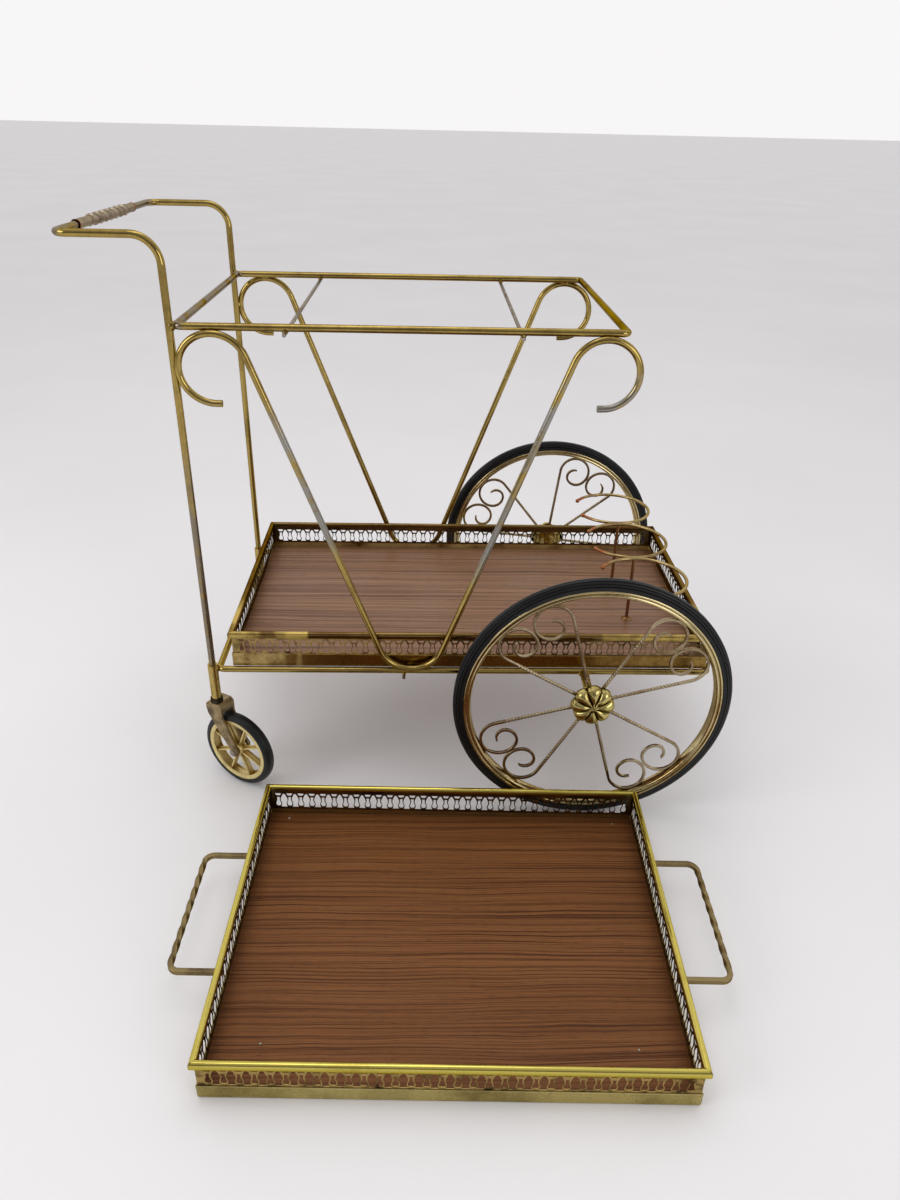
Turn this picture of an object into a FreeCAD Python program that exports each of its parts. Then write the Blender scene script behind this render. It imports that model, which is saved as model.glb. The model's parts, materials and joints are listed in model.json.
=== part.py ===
import FreeCAD, Part
import math
import os
import Sketcher
from FreeCAD import Placement, Rotation, Vector

# Bar cart on wheels: a brazed frame of round bar with a push handle, a fixed lower
# shelf with a bottle rack, two large spoked wheels, two swivel casters, and a
# separate serving tray that stands on the floor in front of the cart.
#
# Cart frame: x runs from the handle end to the wheel end, y from the front to the
# back, z up from the floor. Every piece is then moved by (-origin_x, -origin_y) so
# that the row's origin is on the floor, in the middle of the whole object.

# ---------------------------------------------------------------- driving sizes, mm
SIZES = {
    "origin_x": 274.45, "origin_y": -202.41,
    # frame bars
    "bar_dia": 8.5, "half_width": 180.7, "corner_bend": 7.0, "braze_sink": 0.15,
    "upright_x": -5.9, "upright_foot": 150.0,
    "handle_x": -115.3, "handle_height": 720.0, "handle_bend": 30.0, "handle_corner": 16.0,
    "grip_dia": 12.0, "grip_front": -108.0, "grip_length": 211.0,
    "top_length": 500.0, "top_height": 626.9,
    "lower_left": 2.3, "lower_right": 660.0, "lower_height": 180.2,
    "rod_dia": 4.5, "rod_overhang": 9.0, "top_rod_left": 120.0, "top_rod_right": 383.0,
    "lower_rod_left": 249.0,
    # V-shaped side scrolls
    "scroll_dia": 8.0, "scroll_plane": 185.9, "scroll_bend": 39.0, "scroll_foot_bend": 43.7,
    "scroll_left": 38.8, "scroll_right": 478.2, "scroll_tail": 6.0,
    # shelf and tray
    "shelf_length": 643.7, "shelf_width": 363.6, "shelf_centre": 338.85,
    "tray_length": 493.0, "tray_width": 398.5, "tray_x": 309.2, "tray_y": -468.23, "tray_turn": -1.37,
    "shelf_edge": 52.0, "tray_edge": 55.5, "base_height": 19.5,
    "rail_height": 9.0, "rail_depth": 8.0, "rail_gauge": 1.2,
    "lip_inset": 3.8, "wall_gauge": 1.2, "ledge_depth": 9.0, "ledge_gauge": 1.5,
    "board_gauge": 7.5, "board_slack": 0.3,
    "window_pitch": 14.85, "window_width": 9.0, "window_height": 17.0,
    "tray_handle_dia": 6.0, "tray_handle_span": 166.5, "tray_handle_reach": 51.5,
    "tray_handle_height": 38.6, "tray_handle_bend": 11.0,
    "pin_dia": 3.0, "pin_length": 7.0, "pin_far_x": 27.0, "pin_far_y": 12.0, "pin_near_x": 51.0,
    "pin_near_y": 52.0,
    # bottle rack
    "rack_x": 571.0, "rack_height": 292.0, "rack_dia": 4.5, "rack_ring": 57.9, "rack_pitch": 120.0,
    "rack_mouth": 62.0, "rack_tip_dia": 6.5, "rack_flange_dia": 15.0, "rack_flange_gauge": 2.4,
    # large wheels
    "wheel_x": 491.5, "wheel_plane": 251.0, "wheel_radius": 178.7, "tyre_width": 15.0,
    "tyre_seat": 158.0, "tyre_neck": 10.0, "tyre_shoulder": 6.0, "tyre_crown": 1.5,
    "rim_outer": 163.0, "rim_inner": 156.3, "rim_width": 13.0,
    "rim_gauge": 1.4, "spoke_dia": 4.0, "spoke_start": 12.0,
    "curl_large": 24.2, "curl_middle": 17.0, "curl_small": 12.0,
    "hub_dia": 26.0, "hub_inward": 14.0, "hub_outward": 6.0, "hub_flange_dia": 46.0, "hub_flange_gauge": 2.0,
    "axle_dia": 11.5, "spindle_dia": 8.0, "spindle_length": 27.0, "bore_play": 0.1, "end_play": 0.5,
    "nut_flats": 13.0, "nut_height": 5.0,
    "cap_dia": 56.0, "cap_depth": 15.5, "cap_gauge": 1.2, "near_roll": 38.0, "far_roll": -61.0,
    # swivel casters
    "socket_dia": 13.0, "socket_foot": 134.8, "socket_top": 187.5, "stem_dia": 8.0, "stem_depth": 13.0,
    "collar_dia": 16.5, "front_swivel": -30.0, "back_swivel": 8.0,
    "fork_offset": 5.0, "fork_gap": 19.0, "arm_gauge": 4.0, "arm_width": 27.0, "arm_foot": 14.0,
    "arm_drop": 3.0, "arm_web": 8.0, "swivel_play": 0.3, "pin_head": 2.5,
    "crown_top": 128.3, "crown_foot": 115.5, "caster_trail": 27.5,
    "caster_radius": 56.0, "caster_rim": 47.5, "caster_tyre_width": 16.0, "caster_pin_dia": 6.0,
    "caster_hub_dia": 16.0, "caster_rim_depth": 6.5, "caster_spoke": 4.5, "caster_bead": 2.5,
    "caster_shoulder": 3.5, "web_inset": 3.0,
}
SPOKES = 8
CASTER_SPOKES = 8

doc = FreeCAD.newDocument("bar_cart")
sheet = doc.addObject("Spreadsheet::Sheet", "dims")
for row, (alias, value) in enumerate(SIZES.items(), start=1):
    sheet.set("A%d" % row, alias)
    sheet.set("B%d" % row, str(value))
    sheet.setAlias("B%d" % row, alias)
doc.recompute()

nodes = []


# ---------------------------------------------------------------- small helpers
def value(expression):
    """The number that an expression over the sheet gives now."""
    result = sheet.evalExpression(expression)
    return float(getattr(result, "Value", result))


def size(alias):
    return float(sheet.get(alias))


def bind(obj, links):
    for prop, expression in links.items():
        obj.setExpression(prop, expression)
    return obj


def node(obj, name, x="0", y="0", z="0", turn=None):
    """Names a finished piece and puts it in the row's frame."""
    obj.Label = name
    if turn is not None:
        obj.Placement = Placement(Vector(), turn)
    bind(obj, {
        "Placement.Base.x": "%s - dims.origin_x" % x,
        "Placement.Base.y": "%s - dims.origin_y" % y,
        "Placement.Base.z": z,
    })
    nodes.append(obj)
    return obj


def part(kind, name, links, base=None, turn=None):
    obj = doc.addObject("Part::" + kind, name)
    if turn is not None:
        obj.Placement = Placement(Vector(), turn)
    bind(obj, links)
    for axis, expression in (base or {}).items():
        obj.setExpression("Placement.Base." + axis, expression)
    return obj


def cylinder(name, radius, height, base=None, turn=None):
    return part("Cylinder", name, {"Radius": radius, "Height": height}, base, turn)


def box(name, length, width, height, base=None):
    return part("Box", name, {"Length": length, "Width": width, "Height": height}, base)


def cut(name, base, tool):
    result = doc.addObject("Part::Cut", name)
    result.Base = base
    result.Tool = tool
    return result


def fuse(name, pieces):
    result = doc.addObject("Part::MultiFuse", name)
    result.Shapes = pieces
    return result


def group(name, pieces):
    result = doc.addObject("Part::Compound", name)
    result.Links = pieces
    return result


# ---------------------------------------------------------------- sketches
def plane_of(body, role):
    return [f for f in body.Origin.OriginFeatures if f.Role == role][0]


def polygon(body, name, role, corners):
    """A closed outline; each corner is a pair of expressions, zero or more."""
    sketch = body.newObject("Sketcher::SketchObject", name)
    sketch.AttachmentSupport = (plane_of(body, role), [""])
    sketch.MapMode = "FlatFace"
    points = [Vector(value(a), value(b), 0) for a, b in corners]
    count = len(points)
    for index in range(count):
        sketch.addGeometry(Part.LineSegment(points[index], points[(index + 1) % count]), False)
    for index in range(count):
        sketch.addConstraint(Sketcher.Constraint("Coincident", index, 2, (index + 1) % count, 1))
    for index, (corner, point) in enumerate(zip(corners, points)):
        for kind, axis, expression, length in (("DistanceX", -2, corner[0], point.x),
                                               ("DistanceY", -1, corner[1], point.y)):
            if abs(length) < 1e-9:
                sketch.addConstraint(Sketcher.Constraint("PointOnObject", index, 1, axis))
                continue
            at = sketch.addConstraint(Sketcher.Constraint(kind, -1, 1, index, 1, length))
            sketch.setExpression("Constraints[%d]" % at, expression)
    return sketch


def turned(name, corners):
    """A piece turned about its own Z: corners are (radius, height) expressions."""
    body = doc.addObject("PartDesign::Body", name)
    sketch = polygon(body, name + "_profile", "XZ_Plane", corners)
    feature = body.newObject("PartDesign::Revolution", name + "_turn")
    feature.Profile = sketch
    feature.ReferenceAxis = (sketch, ["V_Axis"])
    feature.Angle = 360.0
    sketch.Visibility = False
    return body


def padded(name, corners, height, body=None, role="XY_Plane"):
    """A plate: the outline in the given plane, padded by the height."""
    body = body or doc.addObject("PartDesign::Body", name)
    sketch = polygon(body, name + "_outline", role, corners)
    feature = body.newObject("PartDesign::Pad", name + "_pad")
    feature.Profile = sketch
    feature.setExpression("Length", height)
    sketch.Visibility = False
    return body


# ---------------------------------------------------------------- bent bar
def tangent_arc(corner, before, after, radius):
    """The arc of a bend at a corner, with its first and last points."""
    back = (before - corner).normalize()
    ahead = (after - corner).normalize()
    half = back.getAngle(ahead) / 2
    reach = radius / math.tan(half)
    centre = corner + (back + ahead).normalize() * (radius / math.sin(half))
    middle = centre + (corner - centre).normalize() * radius
    first = corner + back * reach
    last = corner + ahead * reach
    return first, last, Part.Arc(first, middle, last)


def bent_edges(points, radius, closed=False):
    """Straight runs between the points, with a tangent arc at each corner."""
    count = len(points)
    corners = range(count) if closed else range(1, count - 1)
    arcs = {i: tangent_arc(points[i], points[i - 1], points[(i + 1) % count], radius[i])
            for i in corners}
    edges = []
    for index in range(count if closed else count - 1):
        following = (index + 1) % count
        start = arcs[index][1] if index in arcs else points[index]
        end = arcs[following][0] if following in arcs else points[following]
        edges.append(Part.LineSegment(start, end).toShape())
        if following in arcs:
            edges.append(arcs[following][2].toShape())
    return edges


def curl_edges(start, heading, moves):
    """A flat path in XY: a move is (length,) or (radius, turn), left turns positive."""
    edges = []
    at = Vector(start[0], start[1], 0)
    angle = math.radians(heading)
    for move in moves:
        if len(move) == 1:
            after = at + Vector(math.cos(angle), math.sin(angle), 0) * move[0]
            edges.append(Part.LineSegment(at, after).toShape())
        else:
            radius, turn = move[0], math.radians(move[1])
            side = 1 if turn > 0 else -1
            centre = at + Vector(-math.sin(angle), math.cos(angle), 0) * (radius * side)
            spots = [centre + Vector(math.sin(angle + turn * t), -math.cos(angle + turn * t), 0)
                     * (radius * side) for t in (0.5, 1.0)]
            edges.append(Part.Arc(at, spots[0], spots[1]).toShape())
            after = spots[1]
            angle += turn
        at = after
    return edges


def swept(edges, diameter):
    """A round bar along the edges; its volume is checked against section times length."""
    path = Part.Wire(edges)
    first = path.OrderedEdges[0]
    at = first.FirstParameter if first.Orientation == "Forward" else first.LastParameter
    ring = Part.makeCircle(diameter / 2, first.valueAt(at), first.tangentAt(at))
    bar = path.makePipeShell([Part.Wire([ring])], True, False)
    expected = math.pi * diameter ** 2 / 4 * path.Length
    if abs(bar.Volume - expected) > 0.01 * expected:
        raise RuntimeError("bar volume %.0f, expected %.0f" % (bar.Volume, expected))
    return bar


def bar(name, shape):
    feature = doc.addObject("Part::Feature", name)
    feature.Shape = shape
    return feature


# ---------------------------------------------------------------- frame
def frame_bars():
    half = size("half_width")
    x_up, x_bar = size("upright_x"), size("handle_x")
    foot, top = size("upright_foot"), size("handle_height")
    bend, corner = size("handle_bend"), size("handle_corner")
    points = [Vector(x_up, -half, foot), Vector(x_up, -half, top), Vector(x_bar, -half, top),
              Vector(x_bar, half, top), Vector(x_up, half, top), Vector(x_up, half, foot)]
    edges = bent_edges(points, [0, bend, corner, corner, bend, 0])
    node(bar("handle_frame", swept(edges, size("bar_dia"))), "handle_frame")

    along_y = Rotation(Vector(1, 0, 0), -90)
    sleeve = cylinder("grip_sleeve", "dims.grip_dia / 2", "dims.grip_length")
    hole = cylinder("grip_hole", "dims.bar_dia / 2", "dims.grip_length + 2", {"z": "-1"})
    node(cut("handle_grip", sleeve, hole), "handle_grip",
         "dims.handle_x", "dims.grip_front", "dims.handle_height", along_y)

    for name, left, right, level in (("top_frame", 0.0, size("top_length"), size("top_height")),
                                     ("lower_frame", size("lower_left"), size("lower_right"),
                                      size("lower_height"))):
        middle = (left + right) / 2
        points = [Vector(middle, -half, level), Vector(right, -half, level),
                  Vector(right, half, level), Vector(left, half, level),
                  Vector(left, -half, level), Vector(middle, -half, level)]
        bends = [0] + [size("corner_bend")] * 4 + [0]
        node(bar(name, swept(bent_edges(points, bends), size("bar_dia"))), name)

    rods = []
    for name, place in (("left", "dims.top_rod_left"), ("right", "dims.top_rod_right")):
        rods.append(cylinder("top_rod_" + name, "dims.rod_dia / 2",
                             "2 * (dims.half_width + dims.rod_overhang)", {"x": place}, along_y))
    node(group("top_cross_rods", rods), "top_cross_rods", "0",
         "-(dims.half_width + dims.rod_overhang)",
         "dims.top_height - dims.bar_dia / 2 - dims.rod_dia / 2")
    rod = cylinder("lower_cross_rod", "dims.rod_dia / 2",
                   "2 * (dims.half_width + dims.rod_overhang)", None, along_y)
    node(rod, "lower_cross_rod", "dims.lower_rod_left", "-(dims.half_width + dims.rod_overhang)",
         "dims.lower_height - dims.bar_dia / 2 - dims.rod_dia / 2")


def side_scrolls():
    """A V of one bar each side: two scrolls at the top and a U that stands on the frame."""
    bend, foot_bend = size("scroll_bend"), size("scroll_foot_bend")
    aside = size("scroll_plane") - size("half_width")
    touch = math.sqrt(((size("bar_dia") + size("scroll_dia")) / 2 - size("braze_sink")) ** 2
                      - aside ** 2)
    high = size("top_height") - touch - bend
    low = size("lower_height") + touch + foot_bend
    run = (size("scroll_right") - size("scroll_left")) / 2
    between = math.hypot(run, high - low)
    lean = math.degrees(math.atan2(high - low, run) + math.asin((bend + foot_bend) / between))
    leg = math.sqrt(between ** 2 - (bend + foot_bend) ** 2)
    tail = size("scroll_tail")
    moves = [(tail,), (bend, -(180 + lean)), (leg,), (foot_bend, 2 * lean), (leg,),
             (bend, -(180 + lean)), (tail,)]
    edges = curl_edges((size("scroll_left") + tail, high - bend), 180, moves)
    shape = swept(edges, size("scroll_dia"))
    upright = Rotation(Vector(1, 0, 0), 90)
    for name, side in (("side_scroll_near", "-1"), ("side_scroll_far", "1")):
        node(bar(name, shape.copy()), name, "0", side + " * dims.scroll_plane", "0", upright)


# ---------------------------------------------------------------- shelf and tray
def edging(prefix, sections, length, width):
    """Four mitred lengths round a rectangle: sections are (inset, depth, foot, height)."""
    lengths = []
    for side, run, turn, across in (("near", length, 0, width), ("far", length, 180, width),
                                    ("left", width, -90, length), ("right", width, 90, length)):
        body = doc.addObject("PartDesign::Body", "%s_%s" % (prefix, side))
        for index, (inset, depth, foot, height) in enumerate(sections):
            corners = [(inset, inset), ("%s - (%s)" % (run, inset), inset),
                       ("%s - (%s)" % (run, depth), depth), (depth, depth)]
            name = "%s_%s_%d" % (prefix, side, index)
            padded(name, corners, height, body)
            body.Tip.Profile[0].setExpression("AttachmentOffset.Base.z", foot)
        body.Placement = Placement(Vector(), Rotation(Vector(0, 0, 1), turn))
        angle = math.radians(turn)
        bind(body, {
            "Placement.Base.x": "%d * (%s) / 2 + %d * (%s) / 2"
                                % (-round(math.cos(angle)), run, round(math.sin(angle)), across),
            "Placement.Base.y": "%d * (%s) / 2 + %d * (%s) / 2"
                                % (-round(math.sin(angle)), run, -round(math.cos(angle)), across),
        })
        lengths.append(body)
    return group(prefix, lengths)


def gallery_strip(name, run, edge):
    """A strip with a row of windows, standing on its own XZ plane."""
    count = int((value(run) - size("window_width")) // size("window_pitch"))
    foot, height = "dims.base_height", "(%s - dims.rail_height - dims.base_height)" % edge
    top = "%s - dims.rail_gauge" % edge
    body = padded(name, [("0", foot), (run, foot), (run, top), ("0", top)], "dims.wall_gauge",
                  role="XZ_Plane")
    doc.recompute()
    first = "(%s - %d * dims.window_pitch - dims.window_width) / 2" % (run, count - 1)
    low = "dims.base_height + (%s - dims.window_height) / 2" % height
    sketch = polygon(body, name + "_window", "XZ_Plane",
                     [(first, low), (first + " + dims.window_width", low),
                      (first + " + dims.window_width", low + " + dims.window_height"),
                      (first, low + " + dims.window_height")])
    pocket = body.newObject("PartDesign::Pocket", name + "_pocket")
    pocket.Profile = sketch
    pocket.Type = 1
    pocket.Midplane = True
    sketch.Visibility = False
    pattern = body.newObject("PartDesign::LinearPattern", name + "_row")
    pattern.Originals = [pocket]
    pattern.Direction = (sketch, ["H_Axis"])
    pattern.Occurrences = count
    pattern.setExpression("Length", "%d * dims.window_pitch" % (count - 1))
    body.Tip = pattern
    return body


def place_strip(prefix, side, body, where, run, across):
    """Turns a strip to its side of the rectangle and puts it in the tray's own frame."""
    turn = {"near": 0, "far": 180, "left": -90, "right": 90}[side]
    angle = math.radians(turn)
    ahead = (round(math.cos(angle)), round(math.sin(angle)))
    body.Placement = Placement(Vector(), Rotation(Vector(0, 0, 1), turn))
    holder = group("%s_gallery_%s" % (prefix, side), [body])
    offset = "((%s) / 2 - dims.wall_gauge)" % across
    bind(body, {
        "Placement.Base.x": "%d * (%s) / 2 + %d * %s" % (-ahead[0], run, ahead[1], offset),
        "Placement.Base.y": "%d * (%s) / 2 + %d * %s" % (-ahead[1], run, -ahead[0], offset),
    })
    return node(holder, "%s_gallery_%s" % (prefix, side), *where)


def edged_board(prefix, where):
    """A board with a moulding under it, a pierced gallery round it and a rail on top."""
    length, width, edge = ("dims.%s_%s" % (prefix, key) for key in ("length", "width", "edge"))
    inner_length = "(%s - 2 * dims.lip_inset)" % length
    inner_width = "(%s - 2 * dims.lip_inset)" % width
    rail_foot = edge + " - dims.rail_height"
    rail = edging(prefix + "_rail",
                  [("0", "dims.rail_gauge", rail_foot, "dims.rail_height"),
                   ("0", "dims.rail_depth", edge + " - dims.rail_gauge", "dims.rail_gauge"),
                   ("dims.rail_depth - dims.rail_gauge", "dims.rail_depth", rail_foot,
                    "dims.rail_height")], length, width)
    node(rail, prefix + "_rail", *where)
    band = edging(prefix + "_band", [("0", "dims.wall_gauge", "0", "dims.base_height")],
                  inner_length, inner_width)
    ledge = edging(prefix + "_ledge",
                   [("dims.wall_gauge", "dims.ledge_depth", "0", "dims.ledge_gauge")],
                   inner_length, inner_width)
    node(group(prefix + "_moulding", [band, ledge]), prefix + "_moulding", *where)
    short = "(%s - 2 * dims.wall_gauge)" % inner_width
    for side, run, across in (("near", inner_length, inner_width), ("far", inner_length, inner_width),
                              ("left", short, inner_length), ("right", short, inner_length)):
        strip = gallery_strip("%s_strip_%s" % (prefix, side), run, edge)
        place_strip(prefix, side, strip, where, run, across)
    gap = "2 * (dims.wall_gauge + dims.board_slack)"
    board = box(prefix + "_panel", "%s - %s" % (inner_length, gap), "%s - %s" % (inner_width, gap),
                "dims.board_gauge",
                {"x": "-(%s - %s) / 2" % (inner_length, gap), "y": "-(%s - %s) / 2" % (inner_width, gap),
                 "z": "dims.ledge_gauge"})
    pins, bores = [], []
    for index, (sx, sy) in enumerate(((-1, -1), (1, -1), (1, 1), (-1, 1))):
        row = "near" if sy < 0 else "far"
        spot = {"x": "%d * (%s / 2 - dims.pin_%s_x)" % (sx, inner_length, row),
                "y": "%d * (%s / 2 - dims.pin_%s_y)" % (sy, inner_width, row),
                "z": "dims.ledge_gauge + dims.board_gauge - dims.pin_length"}
        pins.append(cylinder("%s_pin_%d" % (prefix, index), "dims.pin_dia / 2", "dims.pin_length",
                             spot))
        bores.append(cylinder("%s_bore_%d" % (prefix, index), "dims.pin_dia / 2",
                              "dims.pin_length + 1", spot))
    drilled = cut(prefix + "_drilled", board, fuse(prefix + "_bores", bores))
    node(group(prefix + "_board", [drilled]), prefix + "_board", *where)
    node(group(prefix + "_board_pins", pins), prefix + "_board_pins", *where)


def tray_handles(where):
    """A bent bar on each short end, its legs through the gallery wall."""
    span, reach = size("tray_handle_span") / 2, size("tray_handle_reach")
    level, bend = size("tray_handle_height"), size("tray_handle_bend")
    inner = size("tray_length") / 2 - size("lip_inset") - size("wall_gauge") - 2.0
    outer = size("tray_length") / 2 + reach
    for name, side in (("tray_handle_left", -1), ("tray_handle_right", 1)):
        points = [Vector(side * inner, -span, level), Vector(side * outer, -span, level),
                  Vector(side * outer, span, level), Vector(side * inner, span, level)]
        edges = bent_edges(points, [0, bend, bend, 0])
        node(bar(name, swept(edges, size("tray_handle_dia"))), name, *where)


def bottle_rack():
    """Three open rings in a row on two posts, over the wheel end of the shelf."""
    radius, wire = size("rack_ring"), size("rack_dia")
    open_half = size("rack_mouth") / 2
    level, x_mid = size("rack_height"), size("rack_x")
    rings = []
    for index in (-1, 0, 1):
        centre = Vector(x_mid, index * size("rack_pitch"), level)
        spots = []
        for angle in (-(180 - open_half), 0, 180 - open_half):
            a = math.radians(angle)
            spots.append(centre + Vector(math.cos(a), math.sin(a), 0) * radius)
        ring = swept([Part.Arc(*spots).toShape()], wire)
        ball = size("rack_tip_dia") / 2
        tips = [Part.makeSphere(ball, spots[0]), Part.makeSphere(ball, spots[2])]
        rings.append(ring.fuse(tips))
    for name, shape in zip(("near", "middle", "far"), rings):
        node(bar("rack_ring_" + name, shape), "rack_ring_" + name)
    board_top = "dims.lower_height + dims.bar_dia / 2 + dims.ledge_gauge + dims.board_gauge"
    posts, flanges = [], []
    for index, side in enumerate((-1, 1)):
        at = {"x": "dims.rack_x", "y": "%d * dims.rack_pitch / 2" % side}
        posts.append(cylinder("rack_post_%d" % index, "dims.rack_dia / 2",
                              "dims.rack_height - (%s) - 0.5" % board_top, dict(at, z=board_top)))
        plate = cylinder("rack_plate_%d" % index, "dims.rack_flange_dia / 2",
                         "dims.rack_flange_gauge", dict(at, z=board_top))
        hole = cylinder("rack_plate_hole_%d" % index, "dims.rack_dia / 2",
                        "dims.rack_flange_gauge + 2", dict(at, z=board_top + " - 1"))
        flanges.append(cut("rack_flange_%d" % index, plate, hole))
    node(group("rack_posts", posts), "rack_posts")
    node(group("rack_flanges", flanges), "rack_flanges")


# ---------------------------------------------------------------- large wheels
def axle(side, name):
    """A stub on the lower frame bar with a spindle for the wheel, and its nut."""
    outward = Rotation(Vector(1, 0, 0), 90 if side < 0 else -90)
    shoulder = "(dims.wheel_plane - dims.hub_inward - dims.end_play - dims.half_width)"
    stub = cylinder("axle_tube_" + name, "dims.axle_dia / 2", shoulder)
    saddle = cylinder("axle_saddle_" + name, "dims.bar_dia / 2", "4 * dims.axle_dia",
                      {"x": "-2 * dims.axle_dia",
                       "y": "%d * (dims.lower_height - dims.wheel_radius)" % (1 if side < 0 else -1)},
                      Rotation(Vector(0, 1, 0), 90))
    spindle = cylinder("spindle_" + name, "dims.spindle_dia / 2", "dims.spindle_length",
                       {"z": shoulder})
    piece = fuse("axle_stub_" + name, [cut("axle_notched_" + name, stub, saddle), spindle])
    node(piece, "axle_stub_" + name, "dims.wheel_x", "%d * dims.half_width" % side,
         "dims.wheel_radius", outward)

    nut = part("Prism", "nut_body_" + name, {"Circumradius": "dims.nut_flats / sqrt(3)",
                                             "Height": "dims.nut_height"})
    nut.Polygon = 6
    hole = cylinder("nut_hole_" + name, "dims.spindle_dia / 2", "dims.nut_height + 2", {"z": "-1"})
    node(cut("axle_nut_" + name, nut, hole), "axle_nut_" + name, "dims.wheel_x",
         "%d * (dims.wheel_plane + dims.hub_outward + dims.end_play)" % side,
         "dims.wheel_radius", outward)


def spoke_shape():
    """Eight bars from the hub; each ends in a curl that meets its partner's and the rim."""
    half_step = 180.0 / SPOKES
    curl, bar_dia = size("curl_large"), size("spoke_dia")
    reach = size("rim_inner") - bar_dia / 2 - curl
    aside = math.degrees(math.asin(curl / reach))
    straight = reach * math.cos(math.radians(aside)) - size("spoke_start")
    moves = [(straight,), (curl, 227.5), (size("curl_middle"), 95.0), (size("curl_small"), 140.0)]
    edges = curl_edges((size("spoke_start"), 0), 0, moves)
    one = swept(edges, bar_dia)
    one.rotate(Vector(), Vector(0, 0, 1), -half_step)
    two = one.mirror(Vector(), Vector(0, 1, 0))
    spokes = []
    for index in range(SPOKES // 2):
        for shape in (one, two):
            copy = shape.copy()
            copy.rotate(Vector(), Vector(0, 0, 1), index * 4 * half_step)
            spokes.append(copy)
    return Part.makeCompound(spokes)


def hub_cap(name):
    """A thin dome with eight flutes, on a short skirt that covers the nut."""
    radius, depth, gauge = "dims.cap_dia / 2", "dims.cap_depth", "dims.cap_gauge"
    outer = [("0", depth), ("%s * 0.30" % radius, "%s * 0.96" % depth),
             ("%s * 0.62" % radius, "%s * 0.80" % depth), ("%s * 0.88" % radius, "%s * 0.50" % depth),
             (radius, "%s * 0.12" % depth), (radius, "0")]
    inner = [("%s - %s" % (radius, gauge), "0"),
             ("%s - %s" % (radius, gauge), "%s * 0.10" % depth),
             ("%s * 0.84" % radius, "%s * 0.50 - %s" % (depth, gauge)),
             ("%s * 0.58" % radius, "%s * 0.80 - %s" % (depth, gauge)),
             ("%s * 0.28" % radius, "%s * 0.96 - %s" % (depth, gauge)),
             ("0", "%s - %s" % (depth, gauge))]
    return turned(name, outer + inner)


def large_wheel(side, name, roll):
    """Tyre, rim, spokes, hub and cap on the axle, stopped at the given roll angle."""
    outward = Rotation(Vector(1, 0, 0), 90 if side < 0 else -90) * Rotation(Vector(0, 0, 1), roll)
    hub_x, hub_z = "dims.wheel_x", "dims.wheel_radius"
    plane = "dims.wheel_plane"
    half_tyre, neck = "dims.tyre_width / 2", "dims.tyre_neck / 2"
    tyre = turned("tyre_" + name, [
        ("dims.tyre_seat", "%s - %s" % (half_tyre, neck)),
        ("dims.rim_outer", "%s - %s" % (half_tyre, neck)),
        ("dims.rim_outer", "0"), ("dims.wheel_radius - dims.tyre_shoulder", "0"),
        ("dims.wheel_radius - dims.tyre_crown", "dims.tyre_width * 0.2"),
        ("dims.wheel_radius", "dims.tyre_width * 0.4"),
        ("dims.wheel_radius", "dims.tyre_width * 0.6"),
        ("dims.wheel_radius - dims.tyre_crown", "dims.tyre_width * 0.8"),
        ("dims.wheel_radius - dims.tyre_shoulder", "dims.tyre_width"), ("dims.rim_outer", "dims.tyre_width"),
        ("dims.rim_outer", "%s + %s" % (half_tyre, neck)),
        ("dims.tyre_seat", "%s + %s" % (half_tyre, neck))])
    node(tyre, "tyre_" + name, hub_x, "%d * (%s - %s)" % (side, plane, half_tyre), hub_z, outward)

    half_rim = "dims.rim_width / 2"
    rim = turned("rim_" + name, [
        ("dims.rim_inner", "0"), ("dims.rim_outer", "0"), ("dims.rim_outer", "dims.rim_gauge"),
        ("dims.tyre_seat", "dims.rim_gauge"), ("dims.tyre_seat", "dims.rim_width - dims.rim_gauge"),
        ("dims.rim_outer", "dims.rim_width - dims.rim_gauge"), ("dims.rim_outer", "dims.rim_width"),
        ("dims.rim_inner", "dims.rim_width")])
    node(rim, "rim_" + name, hub_x, "%d * (%s - %s)" % (side, plane, half_rim), hub_z, outward)

    spokes = bar("spokes_" + name, spoke_shape())
    node(spokes, "spokes_" + name, hub_x, "%d * %s" % (side, plane), hub_z, outward)

    bore = "(dims.spindle_dia + dims.bore_play) / 2"
    flange = "dims.hub_inward - dims.spoke_dia / 2 - dims.hub_flange_gauge"
    outer_end = "dims.hub_inward + dims.hub_outward"
    hub = turned("hub_" + name, [
        (bore, "0"), ("dims.hub_dia / 2", "0"), ("dims.hub_dia / 2", flange),
        ("dims.hub_flange_dia / 2", flange),
        ("dims.hub_flange_dia / 2", flange + " + dims.hub_flange_gauge"),
        ("dims.hub_dia / 2", flange + " + dims.hub_flange_gauge"),
        ("dims.hub_dia / 2", outer_end), (bore, outer_end)])
    node(hub, "hub_" + name, hub_x, "%d * (%s - dims.hub_inward)" % (side, plane), hub_z, outward)
    node(hub_cap("hub_cap_" + name), "hub_cap_" + name, hub_x,
         "%d * (%s + dims.spoke_dia / 2)" % (side, plane), hub_z, outward)


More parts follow.
